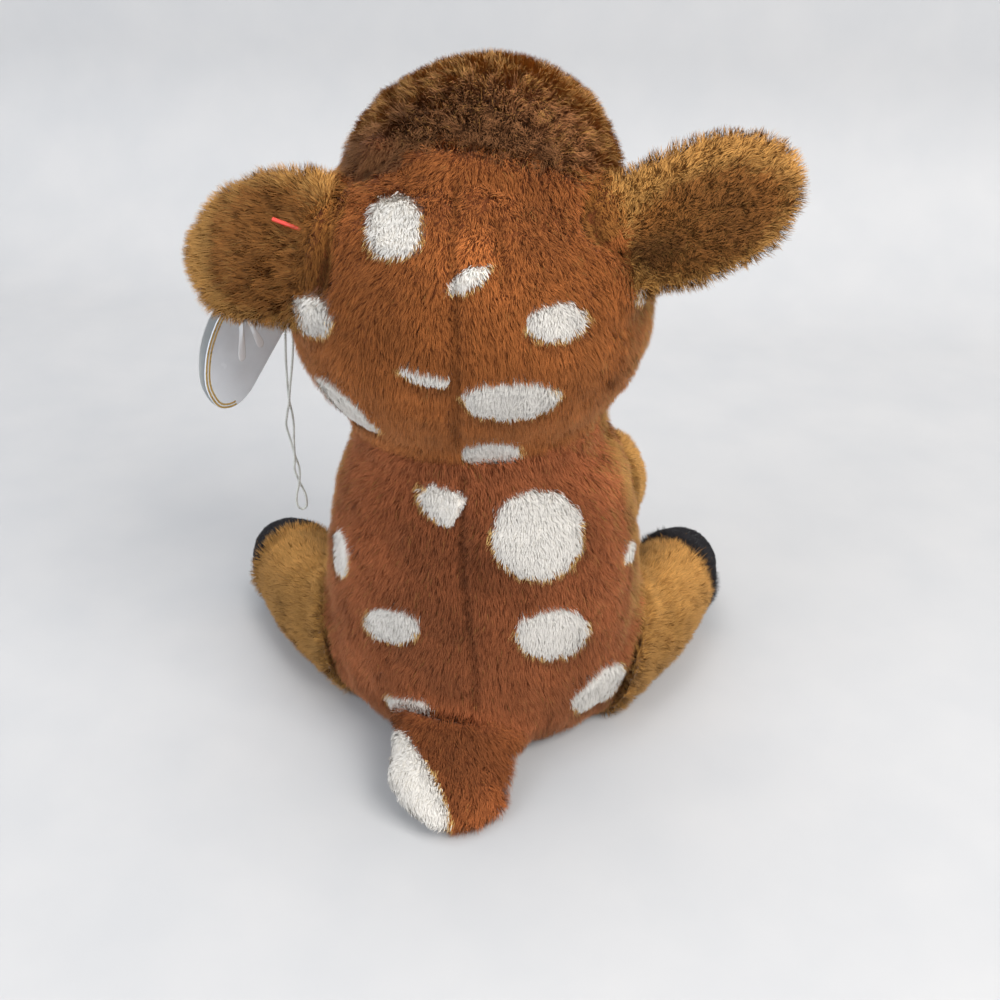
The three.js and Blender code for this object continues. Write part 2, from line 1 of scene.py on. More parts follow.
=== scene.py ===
import logging
from dataclasses import dataclass, field, replace
from enum import Enum
from functools import cache

import bpy
import numpy as np
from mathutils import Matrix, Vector
from mathutils.bvhtree import BVHTree
from mathutils.kdtree import KDTree


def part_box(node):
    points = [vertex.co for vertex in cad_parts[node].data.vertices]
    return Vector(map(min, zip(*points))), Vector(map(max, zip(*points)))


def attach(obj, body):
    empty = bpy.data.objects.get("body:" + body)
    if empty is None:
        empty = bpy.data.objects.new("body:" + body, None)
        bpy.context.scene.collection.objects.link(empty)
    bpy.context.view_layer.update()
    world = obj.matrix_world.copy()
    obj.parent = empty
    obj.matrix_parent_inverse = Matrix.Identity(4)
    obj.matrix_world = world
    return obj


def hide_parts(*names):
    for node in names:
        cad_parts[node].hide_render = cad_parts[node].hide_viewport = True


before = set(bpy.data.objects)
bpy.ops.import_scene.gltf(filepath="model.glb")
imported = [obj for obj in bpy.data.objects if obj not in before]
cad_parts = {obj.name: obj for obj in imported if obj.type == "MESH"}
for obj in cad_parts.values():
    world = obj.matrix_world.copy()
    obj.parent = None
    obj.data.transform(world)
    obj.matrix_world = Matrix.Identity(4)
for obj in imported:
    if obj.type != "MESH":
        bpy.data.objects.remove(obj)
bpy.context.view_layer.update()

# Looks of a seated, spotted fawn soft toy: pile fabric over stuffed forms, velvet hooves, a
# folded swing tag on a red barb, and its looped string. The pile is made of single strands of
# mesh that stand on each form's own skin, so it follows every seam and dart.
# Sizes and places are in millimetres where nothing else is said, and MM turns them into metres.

Triple = tuple[float, float, float]
Socket = bpy.types.NodeSocket

MM = 0.001
SEED = 4642

logging.basicConfig(level=logging.INFO, format="%(name)s: %(message)s")
LOG = logging.getLogger("fawn")


class Side(Enum):
    """A side of the toy."""

    LEFT = "left"
    RIGHT = "right"


class End(Enum):
    """An end of the toy that has legs."""

    HIND = "hind"
    FRONT = "front"


class Dye(Enum):
    """The dye of a printed place: how many rows of shades its strands are past the pile's."""

    RIM = 2
    WHITE = 4
    TAN = 6
    BROWN = 8
    # Not a print: gold painted on as rim light where a form turns sideways, and outside a leaf's
    # heart
    GOLD = 10
    LEG = 12
    BLACK = 14


# Materials

class Recipe:
    """A node material in the making."""

    def __init__(self, name: str) -> None:
        """Start it.

        Args:
            name: The material's name.
        """
        self.made = bpy.data.materials.new(name)
        self.made.use_nodes = True
        self.tree = self.made.node_tree
        self.shader = self.tree.nodes["Principled BSDF"]

    def constants(self, **values: float | tuple[float, ...]) -> None:
        """Set constants on the shader's own sockets, named with _ for a space."""
        for name, value in values.items():
            self.shader.inputs[name.replace("_", " ")].default_value = value

    def node(self, kind: str, **values: float) -> bpy.types.Node:
        """Add a node.

        Args:
            kind: Its type.
            values: Values of its inputs, under their names with _ for a space.

        Returns:
            The node.
        """
        made = self.tree.nodes.new(f"ShaderNode{kind}")
        for name, value in values.items():
            made.inputs[name.replace("_", " ")].default_value = value
        return made

    def join(self, source: Socket, target: Socket | str) -> None:
        """Link an output to an input, or to one of the shader's by its name."""
        found = self.shader.inputs[target] if isinstance(target, str) else target
        self.tree.links.new(source, found)

    def noise(self, scale: float, detail: float) -> Socket:
        """Add a noise texture in object space.

        Args:
            scale: Noise cells per metre.
            detail: Octaves.

        Returns:
            Its value.
        """
        made = self.node("TexNoise", Scale=scale, Detail=detail)
        self.join(self.node("TexCoord").outputs["Object"], made.inputs["Vector"])
        return made.outputs["Fac"]

    def ramp(self, source: Socket, *stops: tuple[float, Triple]) -> Socket:
        """Turn a value into a colour.

        Args:
            source: The value.
            stops: Two pairs of position and linear colour.

        Returns:
            The colour.
        """
        made = self.node("ValToRGB")
        for stop, (place, tint) in zip(made.color_ramp.elements, stops):
            stop.position = place
            stop.color = (*tint, 1.0)
        self.join(source, made.inputs["Fac"])
        return made.outputs["Color"]

    def bump(self, source: Socket, strength: float, depth: float) -> None:
        """Bump the surface by a value.

        Args:
            source: The height.
            strength: Share of the bump that is used.
            depth: Height of the bump in metres.
        """
        made = self.node("Bump", Strength=strength, Distance=depth)
        self.join(source, made.inputs["Height"])
        self.join(made.outputs["Normal"], "Normal")

    def rough(self, source: Socket, low: float, high: float) -> None:
        """Vary the surface's roughness by a value.

        Args:
            source: The value, from 0 to 1.
            low: Roughness where it is 0.
            high: Roughness where it is 1.
        """
        made = self.node("MapRange", To_Min=low, To_Max=high)
        self.join(source, made.inputs["Value"])
        self.join(made.outputs["Result"], "Roughness")


def deeper(tint: Triple, share: float) -> Triple:
    """Scale a colour, with no part above 1."""
    return tuple(min(1.0, share * t) for t in tint)


# Powers of a pile's step that its seven shades are apart, dark to light, and its brightest value
SHADES = (-4.2, -2.3, -1.0, 0.0, 0.9, 1.9, 3.2)
BRIGHTEST = 0.97


@dataclass(frozen=True)
class Pile:
    """The strands of one dyed pile.

    Attributes:
        name: Its name.
        root: Middle linear colour of the strands' lower halves.
        tip: Middle linear colour of their upper halves.
        step: How far the shades lie apart.
        gloss: Roughness of a strand.
        sheen: Share of soft light at grazing angles.
        glow: Colour of that light.
    """

    name: str
    root: Triple
    tip: Triple
    step: float = 0.22
    gloss: float = 0.7
    sheen: float = 0.14
    glow: Triple = (0.95, 0.64, 0.34)

    def materials(self) -> list[bpy.types.Material]:
        """Make one strand material for each shade, once.

        Returns:
            The materials: the lower halves' and then the upper halves', dark to light.
        """
        made = []
        mixes = [(tint, power) for tint in (self.root, self.tip) for power in SHADES]
        for place, (tint, power) in enumerate(mixes):
            name = f"{self.name}_strand_{place}"
            if name not in bpy.data.materials:
                share = (1 + self.step) ** power
                colour = (round(min(BRIGHTEST, c * share), 4) for c in tint)
                Recipe(name).constants(
                    Base_Color=(*colour, 1.0), Roughness=self.gloss, Specular_IOR_Level=0.16,
                    Sheen_Weight=self.sheen, Sheen_Roughness=0.5, Sheen_Tint=(*self.glow, 1.0),
                )
            made.append(bpy.data.materials[name])
        return made


@dataclass(frozen=True)
class Backing:
    """The knitted ground that a pile stands on.

    Attributes:
        name: Its name.
        dark: Linear colour in the hollows of the knit.
        light: Linear colour on its ribs.
        white: Linear colour inside a spot.
    """

    name: str
    dark: Triple
    light: Triple
    white: Triple = (0.8, 0.76, 0.69)

    def material(self) -> bpy.types.Material:
        """Make the knit, once: fine ribs, mottled dye and printed spots.

        Returns:
            The material.
        """
        if self.name in bpy.data.materials:
            return bpy.data.materials[self.name]
        recipe = Recipe(self.name)
        spots = recipe.node("Attribute")
        spots.attribute_name = "spot"
        mix = recipe.node("Mix")
        mix.data_type = "RGBA"
        mix.inputs["B"].default_value = (*self.white, 1.0)
        mottle = recipe.ramp(recipe.noise(220.0, 4.0), (0.3, self.dark), (0.72, self.light))
        recipe.join(spots.outputs["Fac"], mix.inputs["Factor"])
        recipe.join(mottle, mix.inputs["A"])
        recipe.join(mix.outputs["Result"], "Base Color")
        knit = recipe.noise(1700.0, 2.0)
        recipe.bump(knit, 0.7, 0.0005)
        recipe.rough(knit, 0.8, 1.0)
        recipe.constants(Specular_IOR_Level=0.15, Sheen_Weight=0.3)
        return recipe.made


@dataclass(frozen=True)
class Moulded:
    """A moulded plastic.

    Attributes:
        name: Its name.
        tint: Linear colour.
        low: Roughness where it is polished.
        high: Roughness where it is rubbed.
        coat: Share of clear gloss on top.
    """

    name: str
    tint: Triple
    low: float
    high: float
    coat: float = 0.0

    def material(self) -> bpy.types.Material:
        """Make the plastic: faint colour drift, orange-peel bump and rubbed patches.

        Returns:
            The material.
        """
        recipe = Recipe(self.name)
        drift = recipe.noise(320.0, 4.0)
        tint = recipe.ramp(drift, (0.35, deeper(self.tint, 0.82)), (0.65, self.tint))
        recipe.join(tint, "Base Color")
        recipe.rough(recipe.noise(900.0, 5.0), self.low, self.high)
        recipe.bump(drift, 0.15, 0.0002)
        recipe.constants(Coat_Weight=self.coat, Coat_Roughness=0.06)
        return recipe.made


@dataclass(frozen=True)
class Card:
    """Coated card.

    Attributes:
        name: Its name.
        tint: Linear colour of its face.
    """

    name: str
    tint: Triple

    def material(self) -> bpy.types.Material:
        """Make the card: a clear coat over faint fibres, with soft scuffs.

        Returns:
            The material.
        """
        recipe = Recipe(self.name)
        cloud = recipe.noise(90.0, 5.0)
        tint = recipe.ramp(cloud, (0.3, deeper(self.tint, 0.88)), (0.7, self.tint))
        recipe.join(tint, "Base Color")
        recipe.bump(recipe.noise(2400.0, 2.0), 0.12, 0.0001)
        recipe.rough(cloud, 0.16, 0.34)
        recipe.constants(Coat_Weight=0.5, Coat_Roughness=0.08)
        return recipe.made


@dataclass(frozen=True)
class Foil:
    """Stamped metal foil.

    Attributes:
        name: Its name.
        tint: Linear colour.
    """

    name: str
    tint: Triple

    def material(self) -> bpy.types.Material:
        """Make the foil: metal with a fine crumple and worn, duller patches.

        Returns:
            The material.
        """
        recipe = Recipe(self.name)
        wear = recipe.noise(700.0, 4.0)
        tint = recipe.ramp(wear, (0.35, self.tint), (0.7, deeper(self.tint, 1.25)))
        recipe.join(tint, "Base Color")
        recipe.rough(wear, 0.18, 0.42)
        recipe.bump(wear, 0.3, 0.0002)
        recipe.constants(Metallic=0.6)
        return recipe.made


@dataclass(frozen=True)
class Weave:
    """A plain woven cloth or a spun thread.

    Attributes:
        name: Its name.
        tint: Linear colour of the yarn.
        bands: Scale of its bands of yarn.
    """

    name: str
    tint: Triple
    bands: float

    def material(self) -> bpy.types.Material:
        """Make the cloth: crossing yarns, slubs and fuzz.

        Returns:
            The material.
        """
        recipe = Recipe(self.name)
        place = recipe.node("TexCoord")
        cross = recipe.node("Math")
        cross.operation = "MAXIMUM"
        for way, axis in enumerate("XZ"):
            wave = recipe.node("TexWave", Scale=self.bands, Distortion=0.6)
            wave.bands_direction = axis
            recipe.join(place.outputs["Object"], wave.inputs["Vector"])
            recipe.join(wave.outputs["Fac"], cross.inputs[way])
        slub = recipe.noise(500.0, 4.0)
        tint = recipe.ramp(slub, (0.3, deeper(self.tint, 0.72)), (0.65, self.tint))
        recipe.join(tint, "Base Color")
        recipe.bump(cross.outputs["Value"], 0.5, 0.0003)
        recipe.rough(slub, 0.7, 0.95)
        recipe.constants(Sheen_Weight=0.2)
        return recipe.made


# The head's rust is more orange than the body's, and tips are more golden than roots
HEAD_PILE = Pile("head_rust", (0.33, 0.098, 0.024), (0.42, 0.134, 0.034))
BODY_PILE = Pile("body_rust", (0.28, 0.078, 0.027), (0.37, 0.113, 0.042))
TAIL_PILE = Pile("tail_rust", (0.2, 0.053, 0.015), (0.3, 0.09, 0.026))
TAN_PILE = Pile("tan", (0.29, 0.138, 0.034), (0.39, 0.195, 0.051))
EAR_PILE = Pile("ear_tan", (0.21, 0.075, 0.015), (0.31, 0.118, 0.025))
BROWN_PILE = Pile("brown", (0.145, 0.054, 0.018), (0.24, 0.1, 0.037))
# This gold is painted rim light, for the pile where a form turns sideways
RIM_LIGHT_GOLD_PILE = Pile("gold", (0.36, 0.16, 0.036), (0.5, 0.25, 0.066), 0.16)
RIM_PILE = Pile("rim", (0.55, 0.25, 0.06), (0.8, 0.5, 0.18), 0.1)
WHITE_PILE = Pile(
    "white", (0.8, 0.765, 0.705), (0.82, 0.785, 0.73), 0.07, sheen=0.04, glow=(1.0, 1.0, 1.0)
)
CREAM_PILE = Pile(
    "cream", (0.7, 0.6, 0.45), (0.82, 0.75, 0.62), 0.08, sheen=0.04, glow=(1.0, 0.97, 0.9)
)
VELVET_PILE = Pile(
    "velvet", (0.008, 0.0075, 0.008), (0.017, 0.016, 0.018), gloss=0.85, sheen=0.03,
    glow=(0.6, 0.6, 0.7),
)
# The piles of the printed dyes, and the gold of the painted rim light, in the order of Dye
PRINTED = (RIM_PILE, WHITE_PILE, EAR_PILE, BROWN_PILE, RIM_LIGHT_GOLD_PILE, TAN_PILE, VELVET_PILE)

RUST_GROUND = Backing("rust_ground", (0.19, 0.054, 0.016), (0.29, 0.085, 0.024))
TAN_GROUND = Backing("tan_ground", (0.18, 0.078, 0.018), (0.28, 0.13, 0.032))
BROWN_GROUND = Backing("brown_ground", (0.09, 0.034, 0.011), (0.14, 0.054, 0.018))
CREAM_GROUND = Backing("cream_ground", (0.5, 0.42, 0.31), (0.66, 0.58, 0.45))
VELVET_GROUND = Backing("velvet_ground", (0.005, 0.005, 0.006), (0.013, 0.012, 0.014))

BUTTON = Moulded("button_black", (0.012, 0.008, 0.006), 0.05, 0.16, coat=0.6)
WASHER = Moulded("washer_white", (0.72, 0.71, 0.67), 0.38, 0.55)
BARB = Moulded("barb_red", (0.78, 0.045, 0.022), 0.3, 0.46)
TAG_CARD = Card("tag_card", (0.88, 0.94, 1.0))
# The cover leaf's card is painted grey, as painted shade
COVER_SHADE_CARD = Card("cover_card", (0.56, 0.57, 0.56))
# The puckers' card is whiter than the leaf, as painted highlight
PUCKER_HIGHLIGHT = Card("pucker_card", (0.97, 0.98, 1.0))
TAG_FOIL = Foil("tag_foil", (0.78, 0.6, 0.22))
LINEN = Weave("linen", (0.66, 0.61, 0.5), 45.0)
THREAD = Weave("thread", (0.72, 0.73, 0.68), 130.0)


# The pile

# The line that most of the pile is combed along: down the toy's back
DOWN = ((0.0, 0.0, 300.0), (0.0, 60.0, -300.0))
# Words in the names of nodes that are thin, or let into a form
THIN = ("lining", "panel", "hoof", "eye", "nose")
# How far a joint's pile reaches in under a neighbour
VERGE = 3.2
# How thick a thick and a thin neighbour must be over a point to cover it
COVER = 2.8
THIN_COVER = 1.2
# How far from a neighbour a skin still keeps to its solid
NEAR = 5.0
# A distance past all others
FAR = 1e9
# Triangles of a strand, and the most that one piece of pile may have
STRAND_FACES = 3
MOST_FACES = 189_000
# Smooth fields, each with its share, its wavelength and its seed: those that the comb strays by,
# those that wild pile strays by as well, and those that mottle the pile
STRAYS = ((0.3, 26.0, 11),)
WILD_STRAYS = ((0.3, 6.0, 21), (0.22, 2.6, 31))
MOTTLES = ((0.7, 21.0, 5), (0.45, 4.5, 6), (0.6, 44.0, 7))
# How far the pile turns away from a seam, and how much shorter it is there
SEAM_TURN = 0.9
SEAM_CUT = 0.42
# Share of their length that trimmed strands keep
TRIMMED = 0.12
# How unevenly the strands lean, and how much further they lean in a joint, in degrees
UNEVEN = 9
TUCKED = 28
# Gilt of the painted rim light, above which a strand is painted gold
RIM_LIGHT_GILT_FROM = 0.3
# Where a strand's colour is taken: the share of its way from its root to its tip
INK = 0.45
# How wide a white spot's rim is, and the share of its size above the middle where it ends
RIM = 1.0
RIM_TOP = 0.2


@dataclass(frozen=True)
class Spot:
    """A printed spot, an ellipse or rounded box on the form's surface.

    Attributes:
        at: Its middle.
        across: Its half axis to the image's right.
        down: Its half axis to the image's bottom.
        power: 2 for an ellipse, more for a rounded box.
        cut: Share of across beyond which it ends at a seam, where it does.
        side: 1 to keep what is below that share, -1 to keep what is above it.
        depth: How far from its plane it still colours the pile.
        dye: Its dye.
    """

    at: Triple
    across: Triple
    down: Triple
    power: float = 2.0
    cut: float = 9.0
    side: int = 1
    depth: float = 9.0
    dye: Dye = Dye.WHITE

    @property
    def size(self) -> float:
        """Its mean half axis."""
        return 0.5 * (np.linalg.norm(self.across) + np.linalg.norm(self.down))

    def reach(self, points: np.ndarray) -> np.ndarray:
        """Tell how far points are from the middle, where 1 is the spot's edge.

        Args:
            points: The points.

        Returns:
            The distances, 9 where the spot does not reach.
        """
        u, v = np.array(self.across), np.array(self.down)
        n = np.cross(u, v)
        n /= np.linalg.norm(n)
        basis = np.linalg.inv(np.stack([u, v, n], axis=1))
        a, b, c = ((points - np.array(self.at)) @ basis.T).T
        far = (np.abs(a) ** self.power + np.abs(b) ** self.power) ** (1 / self.power)
        out = (np.abs(c) > self.depth) | ((a - self.cut) * self.side > 0)
        return np.where(out, 9.0, far)

    def past(self, points: np.ndarray) -> np.ndarray:
        """Tell about how many mm points are outside the edge, less than 0 inside."""
        return (self.reach(points) - 1) * self.size


@dataclass(frozen=True)
class Seam:
    """A sewn seam, where the pile parts over a groove.

    Attributes:
        line: Points along it.
        width: Half width of the groove.
        depth: How deep it pulls the skin in.
        dark: How many shades darker the pile is painted in it, as painted shade in the groove.
    """

    line: tuple[Triple, ...]
    width: float = 2.0
    depth: float = 1.7
    dark: float = 2.6

    def groove(self, far: np.ndarray, share: float = 1.0) -> np.ndarray:
        """Tell from 0 to 1 how much of a share of the groove is felt at some distances."""
        return np.exp(-((far / (share * self.width)) ** 2))


@dataclass(frozen=True)
class Patch:
    """A round place that fades out: a lighter or darker one, or a swelling.

    Attributes:
        at: Its middle.
        size: How far it reaches.
        much: Shades that the pile is lighter by, partly tone and partly painted light and shade, or
            how far the skin rises.
    """

    at: Triple
    size: float
    much: float

    def felt(self, points: np.ndarray) -> np.ndarray:
        """Tell how much of it is felt at some points."""
        far = np.linalg.norm(points - np.array(self.at), axis=1) / self.size
        return self.much * np.exp(-(far**2))


@dataclass(frozen=True)
class Coat:
    """The pile on one form.

    Attributes:
        pile: Its dye.
        ground: Its backing.
        length: Length of a strand.
        density: Strands on a square millimetre.
        comb: The line that the pile is combed along, or the point that it is combed away from.
        width: Width of a strand.
        lay: Angles from upright of a strand's lower and upper half, in degrees.
        wild: How much the strands stray.
        inset: How far the skin lies inside the CAD surface.
        voxel: Size of the skin's mesh.
        smooth: Rounds of smoothing.
        spots: Printed spots.
        seams: Sewn seams.
        patches_of_tone_and_light: Lighter and darker places, partly tone and partly painted light
            and painted shade.
        swells: Places where the skin bulges.
        clear: Places where the pile is trimmed away: middle and radius.
        knee: Share of a strand below its lighter tip.
        painted_rim_light: Shades that the pile is painted lighter by where the form turns sideways,
            as painted rim light.
        painted_rim_gold: How golden the pile is painted there, as painted rim light.
        round: How close to its rim a form starts to turn sideways for the painted rim light, 1 for
            a ball.
        heart: The place on a leaf outside which the pile is painted golden, as painted rim light.
        mottle: How mottled the pile is.
        lock: Size of the locks that the strands gather in.
        cling: How far the tips of a lock are drawn together, from 0 to 1.
        weld: How far the skin swells where it meets a thick neighbour.
        borrow: Neighbours whose dye runs over: node, dye and how far.
    """

    pile: Pile
    ground: Backing
    length: float
    density: float
    comb: tuple[Triple, ...] = DOWN
    width: float = 0.155
    lay: tuple[float, float] = (27.0, 52.0)
    wild: float = 1.0
    inset: float = 2.2
    voxel: float = 1.8
    smooth: int = 4
    spots: tuple[Spot, ...] = ()
    seams: tuple[Seam, ...] = ()
    patches_of_tone_and_light: tuple[Patch, ...] = ()
    swells: tuple[Patch, ...] = ()
    clear: tuple[tuple[Triple, float], ...] = ()
    knee: float = 0.55
    painted_rim_light: float = 1.3
    painted_rim_gold: float = 0.5
    round: float = 1.0
    heart: Spot | None = None
    mottle: float = 1.0
    lock: float = 1.7
    cling: float = 0.35
    weld: float = 1.6
    borrow: tuple[tuple[str, Dye, float], ...] = ()

    @property
    def whites(self) -> tuple[Spot, ...]:
        """The white spots."""
        return tuple(spot for spot in self.spots if spot.dye is Dye.WHITE)


def onto(
    points: np.ndarray, line: tuple[Triple, ...]
) -> tuple[np.ndarray, np.ndarray, np.ndarray]:
    """Find the nearest place of a line for each point.

    Args:
        points: The points.
        line: The line's own points.

    Returns:
        The distances, the nearest places, and the ways that the line runs there.
    """
    best = np.full(len(points), FAR)
    place, way = np.zeros_like(points), np.zeros_like(points)
    for start, end in zip(line, line[1:]):
        a = np.array(start, float)
        run = np.array(end, float) - a
        share = np.clip(((points - a) @ run) / (run @ run), 0, 1)
        on = a + share[:, None] * run
        far = np.linalg.norm(points - a - share[:, None] * run, axis=1)
        closer = far < best
        best = np.where(closer, far, best)
        place[closer] = on[closer]
        way[closer] = run / np.linalg.norm(run)
    return best, place, way


def ripple(points: np.ndarray, wave: float, seed: int) -> np.ndarray:
    """Make a smooth random field.

    Args:
        points: The points that it is wanted at.
        wave: Its wavelength.
        seed: Which field.

    Returns:
        Values from about -1 to 1.
    """
    rng = np.random.default_rng(SEED + seed)
    ways = rng.normal(size=(5, 3))
    ways /= np.linalg.norm(ways, axis=1)[:, None]
    ways *= rng.uniform(0.7, 1.4, (5, 1)) * 2 * np.pi / wave
    return np.sin(points @ ways.T + rng.uniform(0, 2 * np.pi, 5)).mean(axis=1) * 1.6


def stray(points: np.ndarray, wave: float, seed: int) -> np.ndarray:
    """Make a smooth random field of directions, each up to about 1 long."""
    return np.stack([ripple(points, wave, seed + k) for k in range(3)], axis=1)


def unit(vectors: np.ndarray) -> np.ndarray:
    """Scale vectors, one a row, to length 1."""
    return vectors / np.maximum(np.linalg.norm(vectors, axis=1, keepdims=True), 1e-9)


def level(ways: np.ndarray, normals: np.ndarray) -> np.ndarray:
    """Lay vectors down on a surface with these normals."""
    return ways - (ways * normals).sum(axis=1)[:, None] * normals


def shade(light: np.ndarray) -> np.ndarray:
    """Round how light strands are to the places of shades in a row of materials."""
    return np.clip(np.round(light), 0, len(SHADES) - 1).astype(int)


def mesh_arrays(obj: bpy.types.Object) -> tuple[np.ndarray, np.ndarray, np.ndarray]:
    """Read a mesh.

    Args:
        obj: A mesh object at the origin.

    Returns:
        Its vertices, their normals, and its triangles.
    """
    mesh = obj.data
    mesh.calc_loop_triangles()
    read = []
    for rows, name, kind in (
        (mesh.vertices, "co", np.float32), (mesh.vertex_normals, "vector", np.float32),
        (mesh.loop_triangles, "vertices", np.int32),
    ):
        flat = np.zeros(len(rows) * 3, kind)
        rows.foreach_get(name, flat)
        read.append(flat.reshape(-1, 3))
    return read[0].astype(float) / MM, read[1].astype(float), read[2]


def placed(name: str, data: bpy.types.ID) -> bpy.types.Object:
    """Put an object in the scene.

    Args:
        name: Its name.
        data: Its mesh, camera or light.

    Returns:
        The object.
    """
    made = bpy.data.objects.new(name, data)
    bpy.context.scene.collection.objects.link(made)
    return made


def piece(name: str, mesh: bpy.types.Mesh, body: str) -> None:
    """Put a mesh in the scene as a piece of the toy.

    Args:
        name: The piece's name.
        mesh: Its mesh.
        body: The CAD body that it rides on.
    """
    made = placed(name, mesh)
    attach(made, body)


def faceted(
    name: str, verts: list[Triple], faces: list[tuple[int, ...]], finish: bpy.types.Material,
    smooth: bool = True,
) -> bpy.types.Mesh:
    """Make a mesh from its faces.

    Args:
        name: Its name.
        verts: Its vertices, in metres.
        faces: Its faces.
        finish: Its material.
        smooth: Whether it is shaded smooth.

    Returns:
        The mesh.
    """
    mesh = bpy.data.meshes.new(name)
    mesh.from_pydata(verts, [], faces)
    if smooth:
        mesh.shade_smooth()
    mesh.materials.append(finish)
    return mesh


def paint(finish: bpy.types.Material, *nodes: str) -> None:
    """Give CAD nodes a better material.

    Args:
        finish: The material.
        nodes: The nodes.
    """
    for node in nodes:
        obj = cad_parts[node]
        if not obj.material_slots:
            obj.data.materials.append(finish)
        for slot in obj.material_slots:
            slot.material = finish


def settle(obj: bpy.types.Object) -> None:
    """Apply an object's modifiers.

    Args:
        obj: The object.
    """
    graph = bpy.context.evaluated_depsgraph_get()
    done = bpy.data.meshes.new_from_object(obj.evaluated_get(graph))
    obj.modifiers.clear()
    obj.data = done


def evened(name: str, node: str, voxel: float) -> bpy.types.Object:
    """Copy a CAD node's mesh and remesh it evenly.

    Args:
        name: The copy's name.
        node: The node.
        voxel: Size of the new mesh's cells.

    Returns:
        The copy, without a material.
    """
    made = placed(name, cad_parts[node].data.copy())
    made.data.materials.clear()
    remesh = made.modifiers.new("even", "REMESH")
    remesh.mode = "VOXEL"
    remesh.voxel_size = voxel * MM
    remesh.use_smooth_shade = True
    settle(made)
    return made


def stuffed(
    obj: bpy.types.Object, verts: np.ndarray, cloth: bpy.types.Material, node: str, body: str,
) -> None:
    """Give the copy of a CAD node its last shape and its cloth, and let it stand for the node.

    Args:
        obj: The copy.
        verts: Its vertices' new places.
        cloth: Its material.
        node: The node.
        body: The CAD body that it rides on.
    """
    obj.data.vertices.foreach_set("co", (verts * MM).astype(np.float32).ravel())
    obj.data.materials.append(cloth)
    obj.data.update()
    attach(obj, body)
    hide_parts(node)


@cache
def tree_of(node: str) -> BVHTree:
    """Make the search tree of a CAD node, once."""
    verts, _, tris = mesh_arrays(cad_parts[node])
    return BVHTree.FromPolygons(verts.tolist(), tris.tolist())


def within(tree: BVHTree, place: Vector) -> bool:
    """Tell whether a point is in a closed mesh.

    Args:
        tree: The mesh's search tree.
        place: The point.

    Returns:
        True when it is inside.
    """
    way, step, most = Vector((0.36, 0.48, 0.8)), 1e-3, 40
    hits = 0
    start = place.copy()
    while hits < most:
        found = tree.ray_cast(start, way)
        if found[0] is None:
            break
        hits += 1
        start = found[0] + way * step
    return hits % 2 == 1


def box_of(node: str) -> tuple[np.ndarray, np.ndarray]:
    """Find the lowest and highest corners of a CAD node's box."""
    low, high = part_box(node)
    return np.array(low) / MM, np.array(high) / MM


def covered(
    verts: np.ndarray, normals: np.ndarray, nodes: tuple[str, ...], lift: float
) -> np.ndarray:
    """Find the surface points that other nodes cover, leaving out those nodes' thin rims.

    Args:
        verts: Points of a surface.
        normals: Its normals there.
        nodes: The other nodes.
        lift: How thick a node must be over a point to cover it.

    Returns:
        True for each covered point.
    """
    hidden = np.zeros(len(verts), bool)
    points = verts + normals * lift
    for node in nodes:
        low, high = box_of(node)
        tree = tree_of(node)
        for k in np.flatnonzero(np.all((points > low) & (points < high), axis=1) & ~hidden):
            hidden[k] = within(tree, Vector(points[k]))
    return hidden


def clearance(verts: np.ndarray, nodes: tuple[str, ...], most: float) -> np.ndarray:
    """Measure how far points are from other nodes.

    Args:
        verts: The points.
        nodes: The other nodes.
        most: The largest distance that matters.

    Returns:
        The distances, at most that one.
    """
    best = np.full(len(verts), most)
    for node in nodes:
        low, high = box_of(node)
        tree = tree_of(node)
        for k in np.flatnonzero(np.all((verts > low - most) & (verts < high + most), axis=1)):
            found = tree.find_nearest(Vector(verts[k]), best[k])
            if found[0] is not None:
                best[k] = found[3]
    return best


